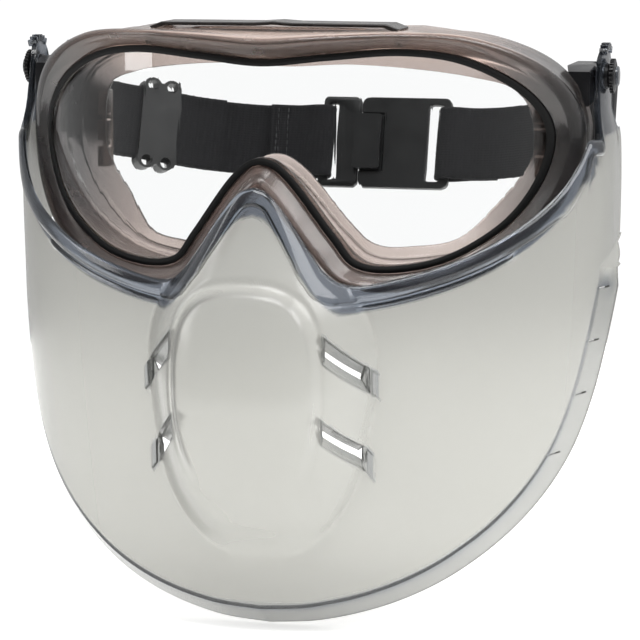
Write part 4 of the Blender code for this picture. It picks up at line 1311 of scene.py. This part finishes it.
def elastic_webbing():
    """Knitted elastic: deep black yarn with cross ribs, a fine lengthwise knit and stray lint. The
    valleys between the ribs are painted darker than their crests: painted shade.
    """
    made = bpy.data.materials.new("black_knitted_elastic")
    made.use_nodes = True
    tree = made.node_tree
    shader = tree.nodes["Principled BSDF"]
    place = add(tree, "ShaderNodeUVMap", uv_map="weave").outputs[0]
    split = add(tree, "ShaderNodeSeparateXYZ", {0: place})
    waves = []
    for axis, pitch in ((0, RIB_PITCH), (1, KNIT_PITCH)):
        turns = {0: split.outputs[axis], 1: 2 * math.pi / pitch}
        angle = add(tree, "ShaderNodeMath", turns, operation="MULTIPLY")
        waves.append(add(tree, "ShaderNodeMath", {0: angle.outputs[0]}, operation="SINE").outputs[0])
    rib, knit = waves
    height = add(tree, "ShaderNodeMath", {0: knit, 1: 0.5, 2: rib}, operation="MULTIPLY_ADD")
    relief = {"Height": height.outputs[0], "Strength": 0.35, "Distance": 0.00012}
    bump = add(tree, "ShaderNodeBump", relief)
    tree.links.new(bump.outputs[0], shader.inputs["Normal"])
    fluff = {"Vector": place, "Scale": 0.35, "Detail": 6.0, "Roughness": 0.7}
    lint = add(tree, "ShaderNodeTexNoise", fluff)
    shades = {0: lint.outputs[0], 6: linear("060608"), 7: linear("101013")}
    colour = add(tree, "ShaderNodeMix", shades, data_type="RGBA")
    # painted shade: the colour follows the ribs' height, lighter on the crests and darker in the valleys
    shade = add(tree, "ShaderNodeMapRange", {0: rib, 1: -1.0, 2: 1.0, 3: 0.0, 4: 0.35})
    shades = {0: shade.outputs[0], 6: colour.outputs[2], 7: linear("19191C")}
    rib_shaded_colour = add(tree, "ShaderNodeMix", shades, data_type="RGBA")
    tree.links.new(rib_shaded_colour.outputs[2], shader.inputs["Base Color"])
    rough = add(tree, "ShaderNodeMapRange", {0: lint.outputs[0], 3: 0.75, 4: 0.95})
    tree.links.new(rough.outputs[0], shader.inputs["Roughness"])
    shader.inputs["Specular IOR Level"].default_value = 0.25
    shader.inputs["Sheen Weight"].default_value = 0.05
    shader.inputs["Sheen Roughness"].default_value = 0.5
    return made


webbing = elastic_webbing()
for name, body, band, tails in (
    ("right", "headband", RIGHT_BAND, RIGHT_TAILS),
    ("left", "left_band", LEFT_BAND, LEFT_TAILS),
):
    line = strap_line(band, *tails)
    strap = make_piece(f"elastic_strap_{name}", strap_mesh(line), webbing, 60.0)
    strap.data.transform(BAND_PLACE)
    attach(strap, body)
    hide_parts(f"strap_{name}")


# --- Buckle ----------------------------------------------------------------------
# Two black acetal plates side by side at the back of the head: the hook plate's tongue slides
# into the head side of the release plate. Each has a slot and a bar for its strap.

BUCKLE_V = 74.0
BUCKLE_HEIGHT = 33.0
BUCKLE_THICK = 3.0
SLOT_HALF = 14.0  # half the height of each strap slot
TONGUE_THICK = 2.4
TONGUE_BEHIND = 2.2  # the tongue's middle lies this far nearer the head


def plate(outline, thick, centre, angle=0.0):
    """A plate whose outline is (along, h), standing upright at `centre` (x, v)."""
    build = prism(outline, 1, -thick / 2, thick / 2)
    turn = Matrix.Rotation(angle, 4, "Z")
    bmesh.ops.transform(build, verts=build.verts, matrix=Matrix.Translation((*centre, 0.0)) @ turn)
    return build


half = BUCKLE_HEIGHT / 2
centre = (0.0, BUCKLE_V)
behind = (0.0, BUCKLE_V - TONGUE_BEHIND)
acetal = dark_abs("black_acetal_moulded", "090A0B", 0.35, 0.5)
hook = plate(rounded_box((-18.4, -half), (-4.0, half), 2.0), BUCKLE_THICK, centre)
hook = make_piece("buckle_hook_plate", hook, acetal)
combine(hook, plate(rounded_box((-15.6, -SLOT_HALF), (-12.2, SLOT_HALF), 1.2), 8.0, centre))
round_edges(hook, 0.5)
combine(hook, plate(rounded_box((-6.0, -10.0), (4.0, 10.0), 1.0), TONGUE_THICK, behind), "UNION")
release = plate(rounded_box((-3.5, -half), (28.4, half), 2.6), BUCKLE_THICK, centre)
release = make_piece("buckle_release_plate", release, acetal)
combine(release, plate(rounded_box((20.2, -SLOT_HALF), (25.6, SLOT_HALF), 1.2), 8.0, centre))
pocket = [(-6.0, -10.6), (4.8, -10.6), (4.8, 10.6), (-6.0, 10.6)]
combine(release, plate(pocket, TONGUE_THICK + 0.4, behind))
round_edges(release, 0.5)
for piece, body, node in ((hook, "headband", "buckle_hook"), (release, "left_band", "buckle_plate")):
    piece.data.transform(BAND_PLACE)
    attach(piece, body)
    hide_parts(node)


# --- Slider ----------------------------------------------------------------------
# A black acetal sleeve with two ring lobes above and below the strap, that holds its doubled-back
# end at the length the wearer sets.

SLIDER_AT = (-74.0, 56.0)
SLIDER_ANGLE = math.atan2(6.0, 8.0)
LOBE = (3.6, 3.6, 12.9)  # radius, middle from the centre, height of the middle
LOBE_HOLE = 1.9
HOLE_OUTWARD = 0.9  # each hole sits this far beyond its lobe's middle
radius, along, high = LOBE
outline = arc((along, high), radius, -20, 148, 14) + arc((-along, high), radius, 32, 200, 14)
outline += arc((-along, -high), radius, 160, 328, 14) + arc((along, -high), radius, 212, 380, 14)
sleeve = make_piece("strap_slider_sleeve", plate(outline, 6.0, SLIDER_AT, SLIDER_ANGLE), acetal)
passage = [(-12.0, -13.4), (12.0, -13.4), (12.0, 13.4), (-12.0, 13.4)]
combine(sleeve, plate(passage, 4.2, SLIDER_AT, SLIDER_ANGLE))
for x in (along, -along):
    for h in (high, -high):
        ring = arc((x, h + math.copysign(HOLE_OUTWARD, h)), LOBE_HOLE, 0, 345, 24)
        combine(sleeve, plate(ring, 12.0, SLIDER_AT, SLIDER_ANGLE))
round_edges(sleeve, 0.5)
sleeve.data.transform(BAND_PLACE)
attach(sleeve, "slider")
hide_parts("strap_slider")


# --- Stitching -------------------------------------------------------------------
# Black bonded polyester thread, in two rows across each fold that is sewn down, with about 2.4 mm
# to a stitch.

STITCH_PITCH = 2.4
STITCH_LENGTH = 1.8
STITCH_RADIUS = 0.28
STITCH_MARGIN = 2.0
STITCH_ROWS = (3.0, 6.0)  # from the tail's end
STITCH_JITTER = (0.06, 0.0, 0.12)


def thread_finish():
    """Bonded thread: black with a slight waxy shine and the twist of its plies."""
    made, tree, shader, place = start_finish("black_bonded_thread")
    shader.inputs["Base Color"].default_value = linear("1B1B1E")
    shader.inputs["Roughness"].default_value = 0.5
    twist = add(tree, "ShaderNodeTexWave", {"Vector": place, "Scale": 900.0}, bands_direction="DIAGONAL")
    bump = add(tree, "ShaderNodeBump", {"Height": twist.outputs[1], "Strength": 0.3, "Distance": 0.0001})
    tree.links.new(bump.outputs[0], shader.inputs["Normal"])
    return made


thread = thread_finish()
count = int((STRAP_WIDTH - 2 * STITCH_MARGIN) / STITCH_PITCH) + 1
stitch = []
for t in [math.pi * k / 6 for k in range(7)]:
    thick = STITCH_RADIUS * (0.35 + 0.65 * math.sin(t))
    round_thread = [math.pi * q / 4 for q in range(8)]
    stitch.append([
        Vector((thick * math.cos(a), thick * (math.sin(a) + 0.2), -STITCH_LENGTH / 2 * math.cos(t)))
        for a in round_thread
    ])
for name, body, band, tail in (
    ("right", "headband", RIGHT_BAND, RIGHT_TAILS[1]),
    ("left", "left_band", LEFT_BAND, LEFT_TAILS[1]),
):
    axis = band_axis(band)
    total = axis[-1][2]
    for number, from_tail in enumerate(STITCH_ROWS):
        point, normal, walked = min(axis, key=lambda row: abs(total - row[2] - tail + from_tail))
        stitches = make_piece(f"stitches_{name}_{number}", skin(stitch, False), thread)
        step = (0.0, 0.0, STITCH_PITCH)
        repeat(stitches, count, step=step, jitter=STITCH_JITTER, seed=number + 3)
        off = spread(walked, total) + STRAP_THICK / 2
        spot = point - normal * off
        turn = Matrix.Rotation(math.atan2(normal.y, normal.x) + math.pi / 2, 4, "Z")
        lift = Matrix.Translation(Vector((spot.x, spot.y, -STITCH_PITCH * (count - 1) / 2)) * MM)
        stitches.data.transform(BAND_PLACE @ lift @ turn)
        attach(stitches, body)


# --- Bounds ----------------------------------------------------------------------
# Nothing is added here: this model's box is measured, as the CAD's box was after the import.

low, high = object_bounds()
